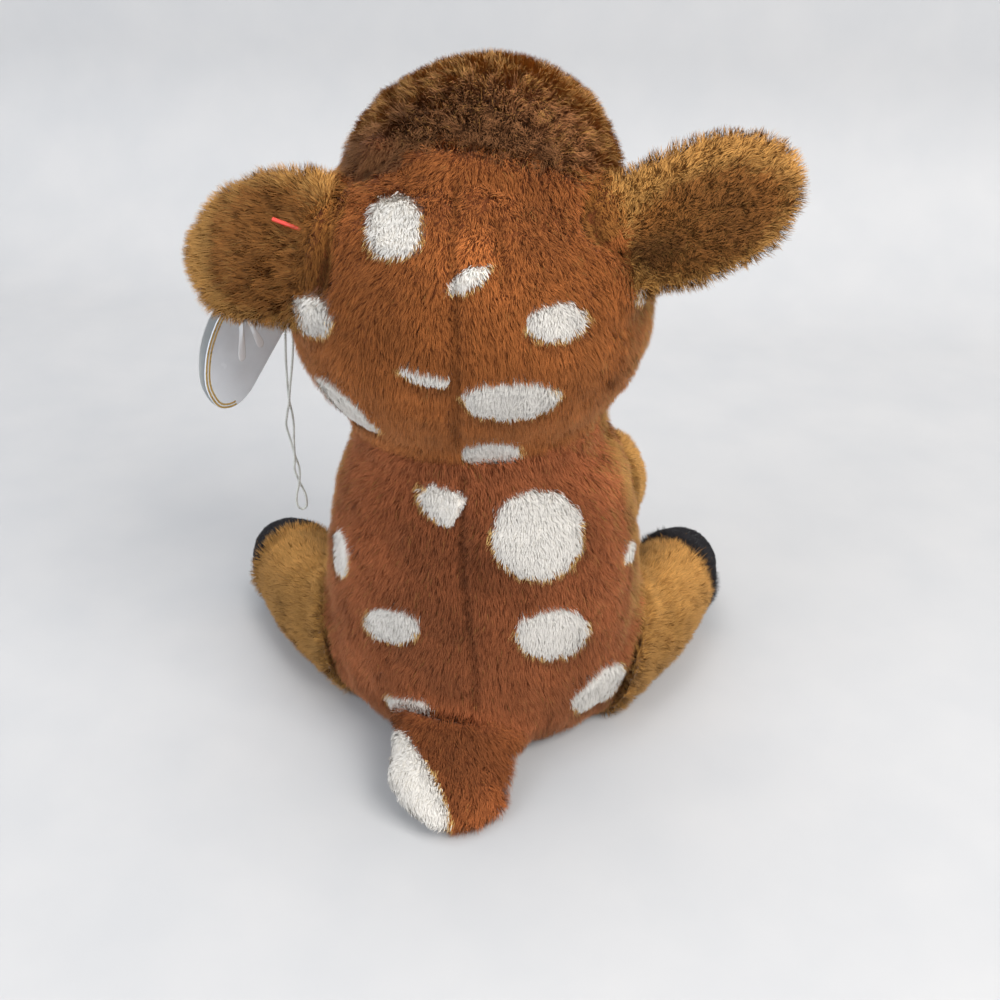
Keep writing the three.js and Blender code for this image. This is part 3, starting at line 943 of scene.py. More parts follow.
@dataclass
class Form:
    """A stuffed or sewn form that takes the place of one CAD node.

    Attributes:
        node: The CAD node.
        body: The CAD body that it rides on.
        slot: The record's material slot; not used.
        coat: Its pile.
        beside: The CAD nodes that cover parts of it.
        skin: Its sewn skin.
        bare: Which of the skin's vertices have no pile.
        outward: The way out of a joint at each of them, up to 1 long, and 0 elsewhere.
    """

    node: str
    body: str
    slot: str
    coat: Coat
    beside: tuple[str, ...]
    skin: bpy.types.Object | None = field(default=None, init=False)
    bare: np.ndarray | None = field(default=None, init=False)
    outward: np.ndarray | None = field(default=None, init=False)

    def _neighbours(self, thin: bool) -> tuple[str, ...]:
        """List the neighbours that are thin or let in, or else the thick ones."""
        return tuple(n for n in self.beside if any(word in n for word in THIN) is thin)

    def sew(self) -> None:
        """Remesh and smooth the node's mesh, pull it in, and sew its seams."""
        coat = self.coat
        self.skin = evened(f"{self.node}_skin", self.node, coat.voxel)
        self._soften()
        verts, normals, _ = mesh_arrays(self.skin)
        self._find_joints(verts, normals)
        grooves = [onto(verts, seam.line)[0] for seam in coat.seams]
        inside = np.zeros(len(verts))
        for spot in coat.whites:
            inside = np.maximum(inside, np.interp(spot.past(verts), (-1.6, 1.4), (1.0, 0.0)))
        raised = 1.3
        verts = verts - normals * (self._pull(verts) - raised * inside)[:, None]
        for seam, far in zip(coat.seams, grooves):
            verts -= normals * (seam.depth * seam.groove(far))[:, None]
        for swell in coat.swells:
            verts += normals * swell.felt(verts)[:, None]
        verts += normals * 0.25 * ripple(verts, 11.0, 40)[:, None]
        table = 0.15
        verts[:, 2] = np.maximum(verts[:, 2], table)
        printed = self.skin.data.attributes.new("spot", "FLOAT", "POINT")
        printed.data.foreach_set("value", inside.astype(np.float32))
        cloth = coat.ground.material()
        stuffed(self.skin, verts, cloth, self.node, self.body)

    def _soften(self) -> None:
        """Smooth the skin, less where a neighbour is near."""
        near = clearance(mesh_arrays(self.skin)[0], self.beside, NEAR) / NEAR
        group = self.skin.vertex_groups.new(name="loose")
        least = 0.12
        for k, share in enumerate(near):
            group.add((k,), float(np.clip(share, least, 1)), "REPLACE")
        soften = self.skin.modifiers.new("soften", "SMOOTH")
        soften.factor = 0.5
        soften.iterations = self.coat.smooth
        soften.vertex_group = group.name
        settle(self.skin)
        self.skin.vertex_groups.clear()

    def _pull(self, verts: np.ndarray) -> np.ndarray:
        """Tell how far the skin goes in: less near thin neighbours, and out at thick ones.

        Args:
            verts: The skin's vertices.

        Returns:
            The distances.
        """
        inset, most, fade = self.coat.inset, 10.0, 4.4
        share = clearance(verts, self._neighbours(True), NEAR) / NEAR
        firm = tuple(n for n in self._neighbours(False) if n != "bean_pouch")
        close = np.exp(-((clearance(verts, firm, most) / fade) ** 2))
        pull = inset * np.clip(1.3 * share - 0.3, -0.2, 1)
        return np.minimum(pull, inset * (1 - close) - self.coat.weld * close)

    def _find_joints(self, verts: np.ndarray, normals: np.ndarray) -> None:
        """Find what stays bare under the neighbours, less a verge whose pile fills the joint.

        Args:
            verts: The skin's vertices before it is pulled in.
            normals: Its normals there.
        """
        hidden = covered(verts, normals, self._neighbours(False), COVER)
        self.outward = np.zeros_like(verts)
        seen = np.flatnonzero(~hidden)
        if hidden.any() and len(seen):
            tree = KDTree(len(seen))
            for k in seen:
                tree.insert(verts[k], int(k))
            tree.balance()
            for k in np.flatnonzero(hidden):
                place, _, far = tree.find(verts[k])
                if far < VERGE:
                    hidden[k] = False
                    self.outward[k] = (np.array(place) - verts[k]) / VERGE
        self.bare = hidden | covered(verts, normals, self._neighbours(True), THIN_COVER)

    def _roots(self) -> tuple[np.ndarray, np.ndarray, np.ndarray]:
        """Scatter the roots of the strands over what shows of the skin.

        Returns:
            Places, normals, and ways out of a joint where the root is in one.
        """
        verts, normals, tris = mesh_arrays(self.skin)
        a, b, c = verts[tris[:, 0]], verts[tris[:, 1]], verts[tris[:, 2]]
        area = np.linalg.norm(np.cross(b - a, c - a), axis=1) / 2
        area[self.bare[tris].all(axis=1)] = 0
        rng = np.random.default_rng(SEED + sum(map(ord, self.node)))
        count = int(area.sum() * self.coat.density)
        pick = np.searchsorted(np.cumsum(area), rng.uniform(0, area.sum(), count))
        chosen = tris[np.minimum(pick, len(tris) - 1)]
        u, v = rng.random((2, count))
        flip = u + v > 1
        u, v = np.where(flip, 1 - u, u), np.where(flip, 1 - v, v)
        share = np.stack([1 - u - v, u, v], axis=1)[:, :, None]
        keep = (self.bare[chosen] * share[:, :, 0]).sum(axis=1) < 0.5
        place, normal, outward = (
            (rows[chosen] * share).sum(axis=1)[keep] for rows in (verts, normals, self.outward)
        )
        return place, unit(normal), outward

    def _parted(
        self, place: np.ndarray, normal: np.ndarray, length: np.ndarray
    ) -> tuple[np.ndarray, np.ndarray, np.ndarray]:
        """Comb the pile, part it at the seams and trim it.

        Args:
            place: The root of each strand.
            normal: The skin's normal there.
            length: Its length.

        Returns:
            The way that it is combed, its new length, and how much lighter it is, in shades, with
            painted shade in the seams.
        """
        coat = self.coat
        if len(coat.comb) > 1:
            way = onto(place, coat.comb)[2]
        else:
            way = unit(place - np.array(coat.comb[0]))
        for share, wave, seed in STRAYS:
            way = way + share * stray(place, wave, seed)
        for share, wave, seed in WILD_STRAYS:
            way = way + share * coat.wild * stray(place, wave, seed)
        tone_and_painted_light = coat.mottle * sum(share * ripple(place, wave, seed) for share, wave, seed in MOTTLES)
        for seam in coat.seams:
            far, on, _ = onto(place + normal * coat.inset, seam.line)
            gap = seam.groove(far)
            way = way + SEAM_TURN * gap[:, None] * unit(place - on)
            length = length * (1 - SEAM_CUT * gap)
            # Painted shade: the pile is darker in a seam's groove
            tone_and_painted_light = tone_and_painted_light - seam.dark * seam.groove(far, 0.7)
        for middle, radius in coat.clear:
            far = np.linalg.norm(place - np.array(middle), axis=1)
            length = length * np.clip((far - radius) / radius, TRIMMED, 1)
        return way, length, tone_and_painted_light

    def grow(self) -> None:
        """Grow the pile: comb, bend, gather and dye its strands."""
        coat = self.coat
        place, normal, outward = self._roots()
        count = len(place)
        rng = np.random.default_rng(SEED + 7 + sum(map(ord, self.node)))
        length = coat.length * rng.uniform(0.72, 1.12, count) * (1 + 0.1 * ripple(place, 8.0, 3))
        way, length, tone_and_painted_light = self._parted(place, normal, length)
        way = level(way + 2.0 * outward, normal)
        way = unit(way + 0.2 * coat.wild * rng.normal(size=(count, 3)))
        way = unit(level(way, normal))

        # Painted rim light: the pile is painted gold where the form turns sideways from the front,
        # and outside a leaf's heart
        turned = (1 - np.abs(normal[:, 1]) ** coat.round) ** 2
        rim_light_gilt = coat.painted_rim_gold * turned
        if coat.heart:
            rim_light_gilt = np.maximum(rim_light_gilt, np.interp(coat.heart.reach(place), (0.6, 1.05), (0.0, 0.66)))
        rim_light_gilt = rim_light_gilt + 0.1 * rng.normal(size=count) + 0.08 * ripple(place, 6.0, 81)
        buried = np.linalg.norm(outward, axis=1)
        # Painted light: lighter where the form turns sideways, and two shades lighter in a joint,
        # against the joint's shade
        tone_and_painted_light = tone_and_painted_light + coat.painted_rim_light * turned + 2.0 * buried
        # Lighter and darker places, partly painted light and painted shade
        for tint in coat.patches_of_tone_and_light:
            tone_and_painted_light = tone_and_painted_light + tint.felt(place)

        lean, bend = (np.radians(angle + UNEVEN * rng.normal(size=count)) for angle in coat.lay)
        lean = lean + np.radians(8) * ripple(place, 7.0, 8) + np.radians(TUCKED) * buried
        bend = bend + 0.6 * np.radians(TUCKED) * buried
        for spot in coat.whites:
            edge = spot.past(place)
            length = length * np.interp(edge, (-3.0, 0.0, 2.0), (0.52, 0.7, 1.0))
            flat = np.interp(edge, (-3.0, 0.5), (1.0, 0.0))
            lean, bend = lean + 0.4 * flat, bend + 0.34 * flat
        low, high = (
            normal * np.cos(angle)[:, None] + way * np.sin(angle)[:, None]
            for angle in (lean, bend)
        )
        sunk = 0.3
        root = place - sunk * normal
        knee = root + low * (coat.knee * length)[:, None]
        tip = self._gathered(place, knee + high * ((1 - coat.knee) * length)[:, None])
        slots = self._dye_and_paint_light(place, tip, tone_and_painted_light, rim_light_gilt, rng)
        white = slots[:, 0] // len(SHADES) == Dye.WHITE.value

        side = unit(np.cross(low, normal))
        roll = np.radians(rng.uniform(-24, 24, count))[:, None]
        side = np.cos(roll) * side + np.sin(roll) * np.cross(low, side)
        half = (coat.width * rng.uniform(0.75, 1.2, count) / 2)[:, None]
        half[white] *= 2.0
        wide = side * half
        corner = np.stack(
            [root - wide, root + wide, knee + wide * 0.85, knee - wide * 0.85, tip], axis=1
        )
        face = np.cross(corner[:, 1] - corner[:, 0], corner[:, 3] - corner[:, 0])
        turn = (face * normal).sum(axis=1) < 0
        corner[turn] = corner[turn][:, [1, 0, 3, 2, 4]]
        table = 0.12 + 0.5 * rng.random((count, 1))
        corner[:, :, 2] = np.maximum(corner[:, :, 2], table)
        loose = np.where(white, 0.03, 0.1)[:, None]
        soft = unit(normal + loose * rng.normal(size=(count, 3)) + 0.25 * way + outward)

        cuts = int(np.ceil(count * STRAND_FACES / MOST_FACES))
        order = np.argsort(place[:, 0] + 0.2 * place[:, 1]) if cuts > 1 else np.arange(count)
        for part, chosen in enumerate(np.array_split(order, cuts)):
            name = f"{self.node}_pile" + (f"_{part + 1}" if cuts > 1 else "")
            self._ribbons(name, corner[chosen], soft[chosen], slots[chosen])
        LOG.info(f"{self.node}: {count} strands in {cuts}")

    def _gathered(self, place: np.ndarray, tip: np.ndarray) -> np.ndarray:
        """Draw the tips of neighbouring strands together, so that the pile lies in locks.

        Args:
            place: The root of each strand.
            tip: The tip of each strand.

        Returns:
            The new tips.
        """
        lock = self.coat.lock
        strayed = place + 0.4 * lock * stray(place, 3.3 * lock, 51)
        cell = np.floor(strayed / lock).astype(np.int64)
        _, index = np.unique(cell @ np.array([1, 4099, 16_785_407]), return_inverse=True)
        index = index.ravel()
        size = np.bincount(index)
        middle = np.stack([np.bincount(index, tip[:, k]) / size for k in range(3)], axis=1)
        return tip + self.coat.cling * (middle[index] - tip)

    def _dye_and_paint_light(
        self, place: np.ndarray, tip: np.ndarray, tone_and_painted_light: np.ndarray, rim_light_gilt: np.ndarray,
        rng: np.random.Generator,
    ) -> np.ndarray:
        """Choose the strands' shades, and print the spots: white, with a warm lower rim.

        Args:
            place: The root of each strand.
            tip: The tip of each strand.
            tone_and_painted_light: How much lighter the pile is there, in shades: tone, with
                painted light and painted shade.
            rim_light_gilt: How golden each strand is painted, as painted rim light.
            rng: The random source.

        Returns:
            The material slots of the lower and the upper half of each strand.
        """
        count, row = len(place), len(SHADES)
        base = row // 2 + tone_and_painted_light + rng.normal(0, 0.45, count)
        slots = np.stack([shade(base), row + shade(base + rng.normal(0, 0.3, count))], axis=1)

        def printed(chosen: np.ndarray, dye: Dye, light: np.ndarray) -> None:
            """Print some of the strands with a dye, each in its own lightness."""
            for half in range(2):
                slots[chosen, half] = (dye.value + half) * row + shade(light)[chosen]

        runs = []
        for node, dye, reach in self.coat.borrow:
            near = clearance(place, (node,), reach + 2.5) + 0.9 * rng.normal(size=count)
            runs.append((near < reach, dye))
        # Painted rim light: strands past its threshold are painted gold
        printed(rim_light_gilt > RIM_LIGHT_GILT_FROM, Dye.GOLD, 9.0 * (rim_light_gilt - RIM_LIGHT_GILT_FROM) + 0.3 * base)
        for chosen, dye in runs:
            printed(chosen, dye, base)
        middle = (1 - INK) * place + INK * tip
        blur = 0.45 * rng.normal(size=count) + 0.5 * ripple(middle, 5.0, 61)
        for spot in self.coat.spots:
            far = spot.past(middle) + blur
            below = (middle - np.array(spot.at)) @ unit(np.array([spot.down]))[0]
            rim = (far >= 0) & (far < RIM) & (below > -RIM_TOP * spot.size)
            rim &= spot.dye is Dye.WHITE
            for half in range(2):
                slots[rim, half] = (Dye.RIM.value + half) * row + rng.integers(0, row, rim.sum())
            printed(far < 0, spot.dye, base)
        return slots

    def _ribbons(
        self, name: str, corner: np.ndarray, soft: np.ndarray, slots: np.ndarray
    ) -> None:
        """Build strands as one mesh: a quad and a triangle each.

        Args:
            name: The piece's name.
            corner: Five corners of each strand.
            soft: The shading normal of each strand.
            slots: Material slots of each strand's lower and upper half.
        """
        count = len(corner)
        steps = np.arange(count, dtype=np.int32)[:, None]
        mesh = bpy.data.meshes.new(name)
        mesh.vertices.add(count * 5)
        mesh.vertices.foreach_set("co", (corner * MM).astype(np.float32).ravel())
        mesh.loops.add(count * 7)
        loops = np.array([0, 1, 2, 3, 3, 2, 4], np.int32)[None] + 5 * steps
        mesh.loops.foreach_set("vertex_index", loops.ravel())
        mesh.polygons.add(count * 2)
        starts = np.array([0, 4], np.int32)[None] + 7 * steps
        mesh.polygons.foreach_set("loop_start", starts.ravel())
        for pile in (self.coat.pile, *PRINTED):
            for finish in pile.materials():
                mesh.materials.append(finish)
        mesh.polygons.foreach_set("material_index", slots.astype(np.int32).ravel())
        mesh.polygons.foreach_set("use_smooth", np.ones(count * 2, bool))
        mesh.update(calc_edges=True)
        normals = mesh.attributes.new("custom_normal", "FLOAT_VECTOR", "POINT")
        normals.data.foreach_set("vector", np.repeat(soft, 5, axis=0).astype(np.float32).ravel())
        piece(name, mesh, self.body)


class Sewn:
    """A sub-assembly of sewn forms."""

    def forms(self) -> list[Form]:
        """List the forms, in the order that they are sewn in."""
        raise NotImplementedError

    def build(self) -> None:
        """Sew the forms and grow their pile."""
        forms = self.forms()
        for form in forms:
            form.sew()
        for form in forms:
            form.grow()


# The toy

HEAD_SEAM = (
    (2.4, 26.2, 182.6), (1.5, 35.4, 173.6), (1.1, 39.9, 166.7), (0.4, 43.4, 158.1),
    (0.3, 45.0, 150.2), (0.3, 45.6, 143.2), (0.4, 44.6, 132.9), (1.0, 41.0, 122.1),
    (1.5, 35.7, 113.1),
)
HEAD_DART = (
    (-9.5, 31.2, 175.5), (-10.7, 34.5, 171.2), (-11.6, 37.3, 166.4), (-12.4, 39.6, 161.1),
)
BODY_SEAM = (
    (1.7, 28.6, 99.4), (0.9, 32.8, 91.9), (0.5, 35.5, 84.8), (-0.1, 38.2, 76.5),
    (-0.3, 40.3, 68.5), (-1.3, 41.7, 60.9), (-2.6, 42.8, 53.1), (-3.6, 43.8, 44.7),
    (-4.2, 44.5, 36.1), (-4.2, 44.6, 28.8), (-3.0, 42.0, 14.0),
)

HEAD_SPOTS = (
    Spot((18.2, 32.8, 173.4), (-7.5, 1.7, 1.0), (-0.9, 5.3, -6.2), power=2.8),
    Spot((-3.2, 41.3, 162.6), (-4.6, -1.9, 2.6), (-1.3, 0.5, -2.0), power=1.7),
    Spot((-26.4, 35.8, 149.9), (-6.9, -4.8, -0.5), (-0.9, 0.6, -5.0)),
    Spot((8.3, 45.0, 135.5), (-6.8, 0.1, -1.1), (0.3, -0.2, -1.9), cut=0.95),
    Spot((-14.5, 40.1, 127.3), (-12.3, -3.9, -1.1), (0.3, -2.1, -6.6)),
    Spot((41.3, 30.4, 145.8), (-5.1, 4.7, 0.4), (0.4, 0.2, -5.5)),
    Spot((36.5, 27.6, 117.5), (-8.0, 6.0, -3.8), (3.5, -0.2, -6.6), depth=12.0),
    Spot((-45.0, 12.4, 149.9), (-1.9, -3.9, -1.0), (-0.2, 0.8, -2.6)),
    Spot((-7.0, 27.5, 106.5), (-8.0, -1.5, -0.8), (0.3, -4.6, -3.4), cut=-1.05, side=-1),
    Spot((-34.5, 8.9, 172.5), (-4.4, -7.2, -2.2), (-0.9, 9.8, -5.9), dye=Dye.TAN),
    Spot((40.6, 22.3, 164.9), (-5.5, 6.2, 1.5), (3.2, 6.7, -13.9), 4.0, dye=Dye.TAN),
    Spot((27.9, 9.7, 184.3), (-9.7, 2.3, 4.6), (-4.0, 10.3, -1.1), 2.6, dye=Dye.BROWN),
    Spot((16.6, 13.2, 188.2), (-8.4, 1.5, 1.9), (-1.4, 5.2, -1.4), dye=Dye.BROWN),
)
# The seams at the foot of the crown tuft and of both ears, whose pile is painted darker as shade
CREASES = (
    Seam(
        ((32.2, 16.1, 178.7), (28.2, 16.2, 181.6), (24.3, 15.9, 183.8), (19.1, 14.6, 186.6),
         (12.7, 15.4, 188.2), (6.5, 15.8, 188.8), (0.1, 15.5, 188.7), (-6.6, 14.5, 187.9),
         (-14.2, 12.2, 186.5), (-21.0, 10.5, 183.6), (-27.1, 9.1, 179.7)),
        1.6, 1.3, 2.6,
    ),
    Seam(
        ((36.2, 12.5, 177.1), (36.1, 19.3, 173.2), (36.5, 24.6, 168.1), (37.6, 28.7, 160.6),
         (39.7, 30.2, 152.6)),
        1.9, 2.0, 3.4,
    ),
    Seam(
        ((-29.7, 5.5, 178.7), (-31.6, 15.4, 172.9), (-34.1, 18.2, 167.7), (-38.6, 15.4, 163.0),
         (-42.2, 12.6, 158.5)),
        1.7, 1.6, 1.8,
    ),
)
BODY_SPOTS = (
    Spot((4.2, 33.9, 88.9), (-9.4, 2.2, -4.0), (2.3, 1.5, -4.3), power=2.3, cut=0.26),
    Spot((-21.9, 32.0, 81.1), (-12.5, -5.0, -2.0), (-0.7, 4.3, -12.4), power=2.2),
    Spot((42.3, 20.4, 62.1), (-3.4, 4.8, 1.4), (-0.2, 1.6, -7.2)),
    Spot((23.1, 38.4, 48.7), (-9.0, 3.9, 2.0), (0.7, 0.4, -6.1)),
    Spot((-27.4, 36.4, 49.1), (-10.2, -5.2, -2.6), (0.2, 1.2, -8.5)),
    Spot((-40.5, 24.0, 20.5), (-6.0, -8.0, 2.5), (-1.6, -3.0, -7.4), power=2.6),
    Spot((17.2, 42.0, 20.4), (-8.2, 2.6, 1.4), (0.6, -0.7, -4.2)),
    Spot((-48.3, 7.5, 62.0), (-1.6, -4.6, -1.6), (-0.2, 1.0, -3.1)),
)

# How far a hoof's black runs up its leg's pile
CUFFS = {
    (End.HIND, Side.LEFT): 1.5, (End.HIND, Side.RIGHT): 5.0,
    (End.FRONT, Side.LEFT): 1.0, (End.FRONT, Side.RIGHT): 1.0,
}
# Where a hind leg's pile is painted darker, as painted shade
LEG_SHADE = {Side.LEFT: (64.0, -6.0, 32.0), Side.RIGHT: (-56.0, -4.0, 34.0)}
# The lines that the pile of the limbs and leaves is combed along
LIMB_LINES = {
    "hind_leg_left": ((30.0, -2.0, 20.0), (62.0, -16.0, 20.0), (86.0, -52.0, 16.0)),
    "hind_leg_right": ((-30.0, -4.0, 20.0), (-66.0, -30.0, 20.0), (-78.0, -64.0, 16.0)),
    "front_leg_left": ((34.0, -28.0, 71.0), (33.0, -52.0, 45.0), (27.0, -69.0, 8.0)),
    "front_leg_right": ((-34.0, -28.0, 71.0), (-33.0, -52.0, 45.0), (-27.0, -69.0, 8.0)),
    "ear_left": ((38.0, 22.0, 166.0), (60.0, 16.0, 163.0), (88.0, 0.0, 150.0)),
    "ear_right": ((-36.0, 8.0, 160.0), (-58.0, 6.0, 166.0), (-92.0, 0.0, 176.0)),
    "tail": ((2.0, 40.0, 16.0), (1.0, 80.0, 6.0)),
}
# The pile of the ears' linings, thin and close
LINING = Coat(
    CREAM_PILE, CREAM_GROUND, 2.8, 7.0, inset=0.3, voxel=0.8, smooth=2, painted_rim_gold=0.0, weld=0.0
)
# What differs from ear to ear: lighter and darker places, where the dark ones at the root, in the
# left ear's dimple and in the right ear's crease are painted shade and the broad ones are partly
# tone, partly painted light and shade; swellings; and the heart outside which the pile is painted
# gold as rim light
EAR_LOOKS = {
    Side.LEFT: {
        "patches_of_tone_and_light": (
            Patch((62.0, 14.0, 160.0), 40.0, 0.4), Patch((42.0, 24.0, 152.0), 9.0, -0.8),
            Patch((52.5, 18.2, 167.6), 6.0, -1.8),
        ),
        "swells": (Patch((52.5, 18.2, 167.6), 5.5, -1.2),),
        "heart": Spot((55.7, 20.8, 160.2), (-24.5, 8.4, 4.3), (-0.8, 8.6, -19.2), depth=60.0),
    },
    Side.RIGHT: {
        "patches_of_tone_and_light": (
            Patch((-80.0, 4.0, 186.0), 13.0, 1.8), Patch((-68.6, 9.4, 170.0), 13.0, -1.6),
            Patch((-45.7, 15.4, 161.5), 5.5, -4.0), Patch((-52.5, 15.0, 164.5), 6.5, -2.6),
            Patch((-45.0, 10.0, 174.0), 9.0, 1.0),
        ),
        "heart": Spot((-61.6, 11.3, 170.5), (-23.8, -8.0, 9.9), (-6.7, 4.4, -11.7), depth=60.0),
    },
}


@dataclass(frozen=True)
class Head(Sewn):
    """The head with its crown tuft, muzzle, eyes and nose.

    Attributes:
        fur: The head's pile.
        tuft: The crown tuft's pile.
        snout: The muzzle's pile.
        eye_room: How far round an eye the pile is trimmed.
        nose_room: How far round the nose it is.
        button: How far the middle of a button's face lies behind its foremost point.
    """

    fur: Coat = Coat(
        HEAD_PILE, RUST_GROUND, 4.4, 8.0, spots=HEAD_SPOTS,
        seams=(Seam(HEAD_SEAM, 1.7, 1.4, 2.3), Seam(HEAD_DART, 1.8, 1.5), *CREASES),
        swells=(
            Patch((-36.0, 8.0, 171.5), 8.5, 3.4), Patch((40.0, 20.0, 167.0), 9.0, 2.2),
            Patch((27.0, 10.0, 185.0), 8.0, 2.4),
        ),
        # The dark patches below the ears' roots are painted shadow and the darker +x side is
        # painted shade; the lighter patches on the ear-root bulges and the middle are partly tone,
        # partly painted light
        patches_of_tone_and_light=(
            Patch((-4.5, 38.0, 168.0), 7.5, 2.0), Patch((-20.0, 38.0, 146.0), 22.0, 0.9),
            Patch((36.0, 26.0, 146.0), 20.0, -1.3), Patch((-46.0, 14.0, 143.0), 7.0, -1.6),
            Patch((-42.4, 12.7, 158.0), 4.5, -6.0), Patch((38.0, 17.0, 172.0), 9.0, 2.0),
            Patch((-34.5, 9.0, 173.0), 9.0, 1.5), Patch((8.0, 34.0, 176.0), 7.0, -1.0),
        ),
    )
    tuft: Coat = Coat(
        BROWN_PILE, BROWN_GROUND, 6.2, 9.0, comb=((0.0, -60.0, 240.0), (-10.0, 60.0, 150.0)),
        lay=(20.0, 48.0), wild=3.2, inset=1.4, knee=0.62, lock=2.6, cling=0.34, painted_rim_gold=0.42,
        round=1.8, painted_rim_light=3.6, weld=0.0,
        # Lighter on the -x side and darker on the +x side, as painted light and painted shade
        patches_of_tone_and_light=(Patch((-32.0, 2.0, 196.0), 14.0, 1.6), Patch((22.0, 12.0, 186.0), 14.0, -0.8)),
    )
    snout: Coat = Coat(
        CREAM_PILE, CREAM_GROUND, 3.0, 7.0, comb=((0.0, -70.0, 145.0), (0.0, -30.0, 90.0)),
        inset=1.4, painted_rim_gold=0.0,
    )
    eye_room: float = 6.5
    nose_room: float = 6.0
    button: float = 2.0

    def _middle(self, node: str) -> Triple:
        """Find the middle of a button's face."""
        low, high = box_of(node)
        return (low[0] + high[0]) / 2, low[1] + self.button, (low[2] + high[2]) / 2

    def forms(self) -> list[Form]:
        """List the three forms, with their pile trimmed round the buttons."""
        eyes = tuple((self._middle(f"eye_{side.value}"), self.eye_room) for side in Side)
        nose = ((self._middle("nose"), self.nose_room),)
        return [
            Form(
                "head", "head", "rust_pile", replace(self.fur, clear=eyes),
                ("crown_tuft", "muzzle", "ear_left", "ear_right", "body", "eye_left",
                 "eye_right", "nose", "ear_lining_left", "ear_lining_right"),
            ),
            Form("crown_tuft", "head", "brown_pile", self.tuft, ("head",)),
            Form("muzzle", "head", "cream_pile", replace(self.snout, clear=nose), ("head", "nose")),
        ]

    def build(self) -> None:
        """Make the forms and finish the buttons and their washers."""
        super().build()
        paint(BUTTON.material(), "eye_left", "eye_right", "nose")
        paint(WASHER.material(), "nose_washer", "eye_washer_left", "eye_washer_right")
        LOG.info("buttons and washers")


@dataclass(frozen=True)
class Torso(Sewn):
    """The body with its belly panel, seat panel and pellet pouch.

    Attributes:
        fur: The body's pile.
        belly: The belly panel's pile.
        seat: The seat panel's pile.
        cell: Size of the pouch's mesh.
        slack: How far the pouch lies inside its CAD surface.
        lump: How high its pellets push it out.
        fill: How full it is, from 0 to 1; not used.
    """

    fur: Coat = Coat(
        BODY_PILE, RUST_GROUND, 4.6, 8.0, spots=BODY_SPOTS, seams=(Seam(BODY_SEAM, 1.6, 0.7, 1.3),),
        borrow=(
            ("hind_leg_left", Dye.LEG, 3.4), ("hind_leg_right", Dye.LEG, 3.4),
            ("front_leg_left", Dye.LEG, 3.0), ("front_leg_right", Dye.LEG, 3.0),
        ),
        # The lighter place low on the -x side is painted light; the others make the middle of the
        # back darker and the shoulder and low back lighter
        patches_of_tone_and_light=(
            Patch((-38.0, 24.0, 52.0), 20.0, 0.9), Patch((-43.0, 0.0, 88.0), 13.0, 2.2),
            Patch((2.0, 40.0, 70.0), 22.0, -1.5), Patch((-6.0, 44.0, 24.0), 14.0, 0.5),
        ),
    )
    belly: Coat = Coat(
        CREAM_PILE, CREAM_GROUND, 4.0, 4.6, inset=1.0, voxel=0.9, smooth=2, painted_rim_gold=0.0, weld=0.2
    )
    seat: Coat = Coat(
        TAN_PILE, TAN_GROUND, 1.4, 3.0, comb=((0.0, 0.0, 0.0), (0.0, 90.0, 0.0)), inset=0.3,
        voxel=0.9, smooth=2, lay=(60.0, 82.0), painted_rim_gold=0.0, weld=0.1,
    )
    cell: float = 1.4
    slack: float = 0.7
    lump: float = 0.45
    fill: float = 0.5

    def forms(self) -> list[Form]:
        """List the body and its two panels."""
        limbs = ("front_leg_left", "front_leg_right", "hind_leg_left", "hind_leg_right", "tail")
        round_body = ("head", "seat_panel", "belly_panel", "bean_pouch", *limbs)
        return [
            Form("body", "torso", "rust_pile", self.fur, round_body),
            Form("belly_panel", "torso", "cream_pile", self.belly, ("body", "head", *limbs)),
            Form("seat_panel", "torso", "tan_pile", self.seat, ("body", "bean_pouch", *limbs)),
        ]

    def build(self) -> None:
        """Make the forms, and the cloth bag of pellets that weights the seat."""
        super().build()
        made = evened("bean_pouch_cloth", "bean_pouch", self.cell)
        verts, normals, _ = mesh_arrays(made)
        lumps = 0.5 * ripple(verts, 4.5, 71) + 0.5 * ripple(verts, 19.0, 72)
        verts += normals * (self.lump * lumps - self.slack)[:, None]
        stuffed(made, verts, LINEN.material(), "bean_pouch", "torso")
        LOG.info("bean pouch")


@dataclass(frozen=True)
class Ear(Sewn):
    """One ear: a tan leaf with a cream lining.

    Attributes:
        side: Which ear.
        leaf: The leaf's pile, where both ears are alike.
        lining: The lining's pile.
    """

    side: Side
    leaf: Coat = Coat(
        EAR_PILE, TAN_GROUND, 5.0, 8.5, inset=1.6, voxel=1.3, smooth=3, wild=3.0,
        lay=(12.0, 32.0), lock=2.4, cling=0.3, painted_rim_gold=0.6, round=3.0, weld=0.8, mottle=0.6,
    )
    lining: Coat = LINING

    def forms(self) -> list[Form]:
        """List the leaf, combed away from its root, and its lining."""
        ear, lining = f"ear_{self.side.value}", f"ear_lining_{self.side.value}"
        line = LIMB_LINES[ear]
        leaf = replace(self.leaf, comb=line[:1], **EAR_LOOKS[self.side])
        return [
            Form(ear, ear, "tan_pile", leaf, ("head", "crown_tuft", lining)),
            Form(lining, ear, "cream_pile", replace(self.lining, comb=line), (ear, "head")),
        ]


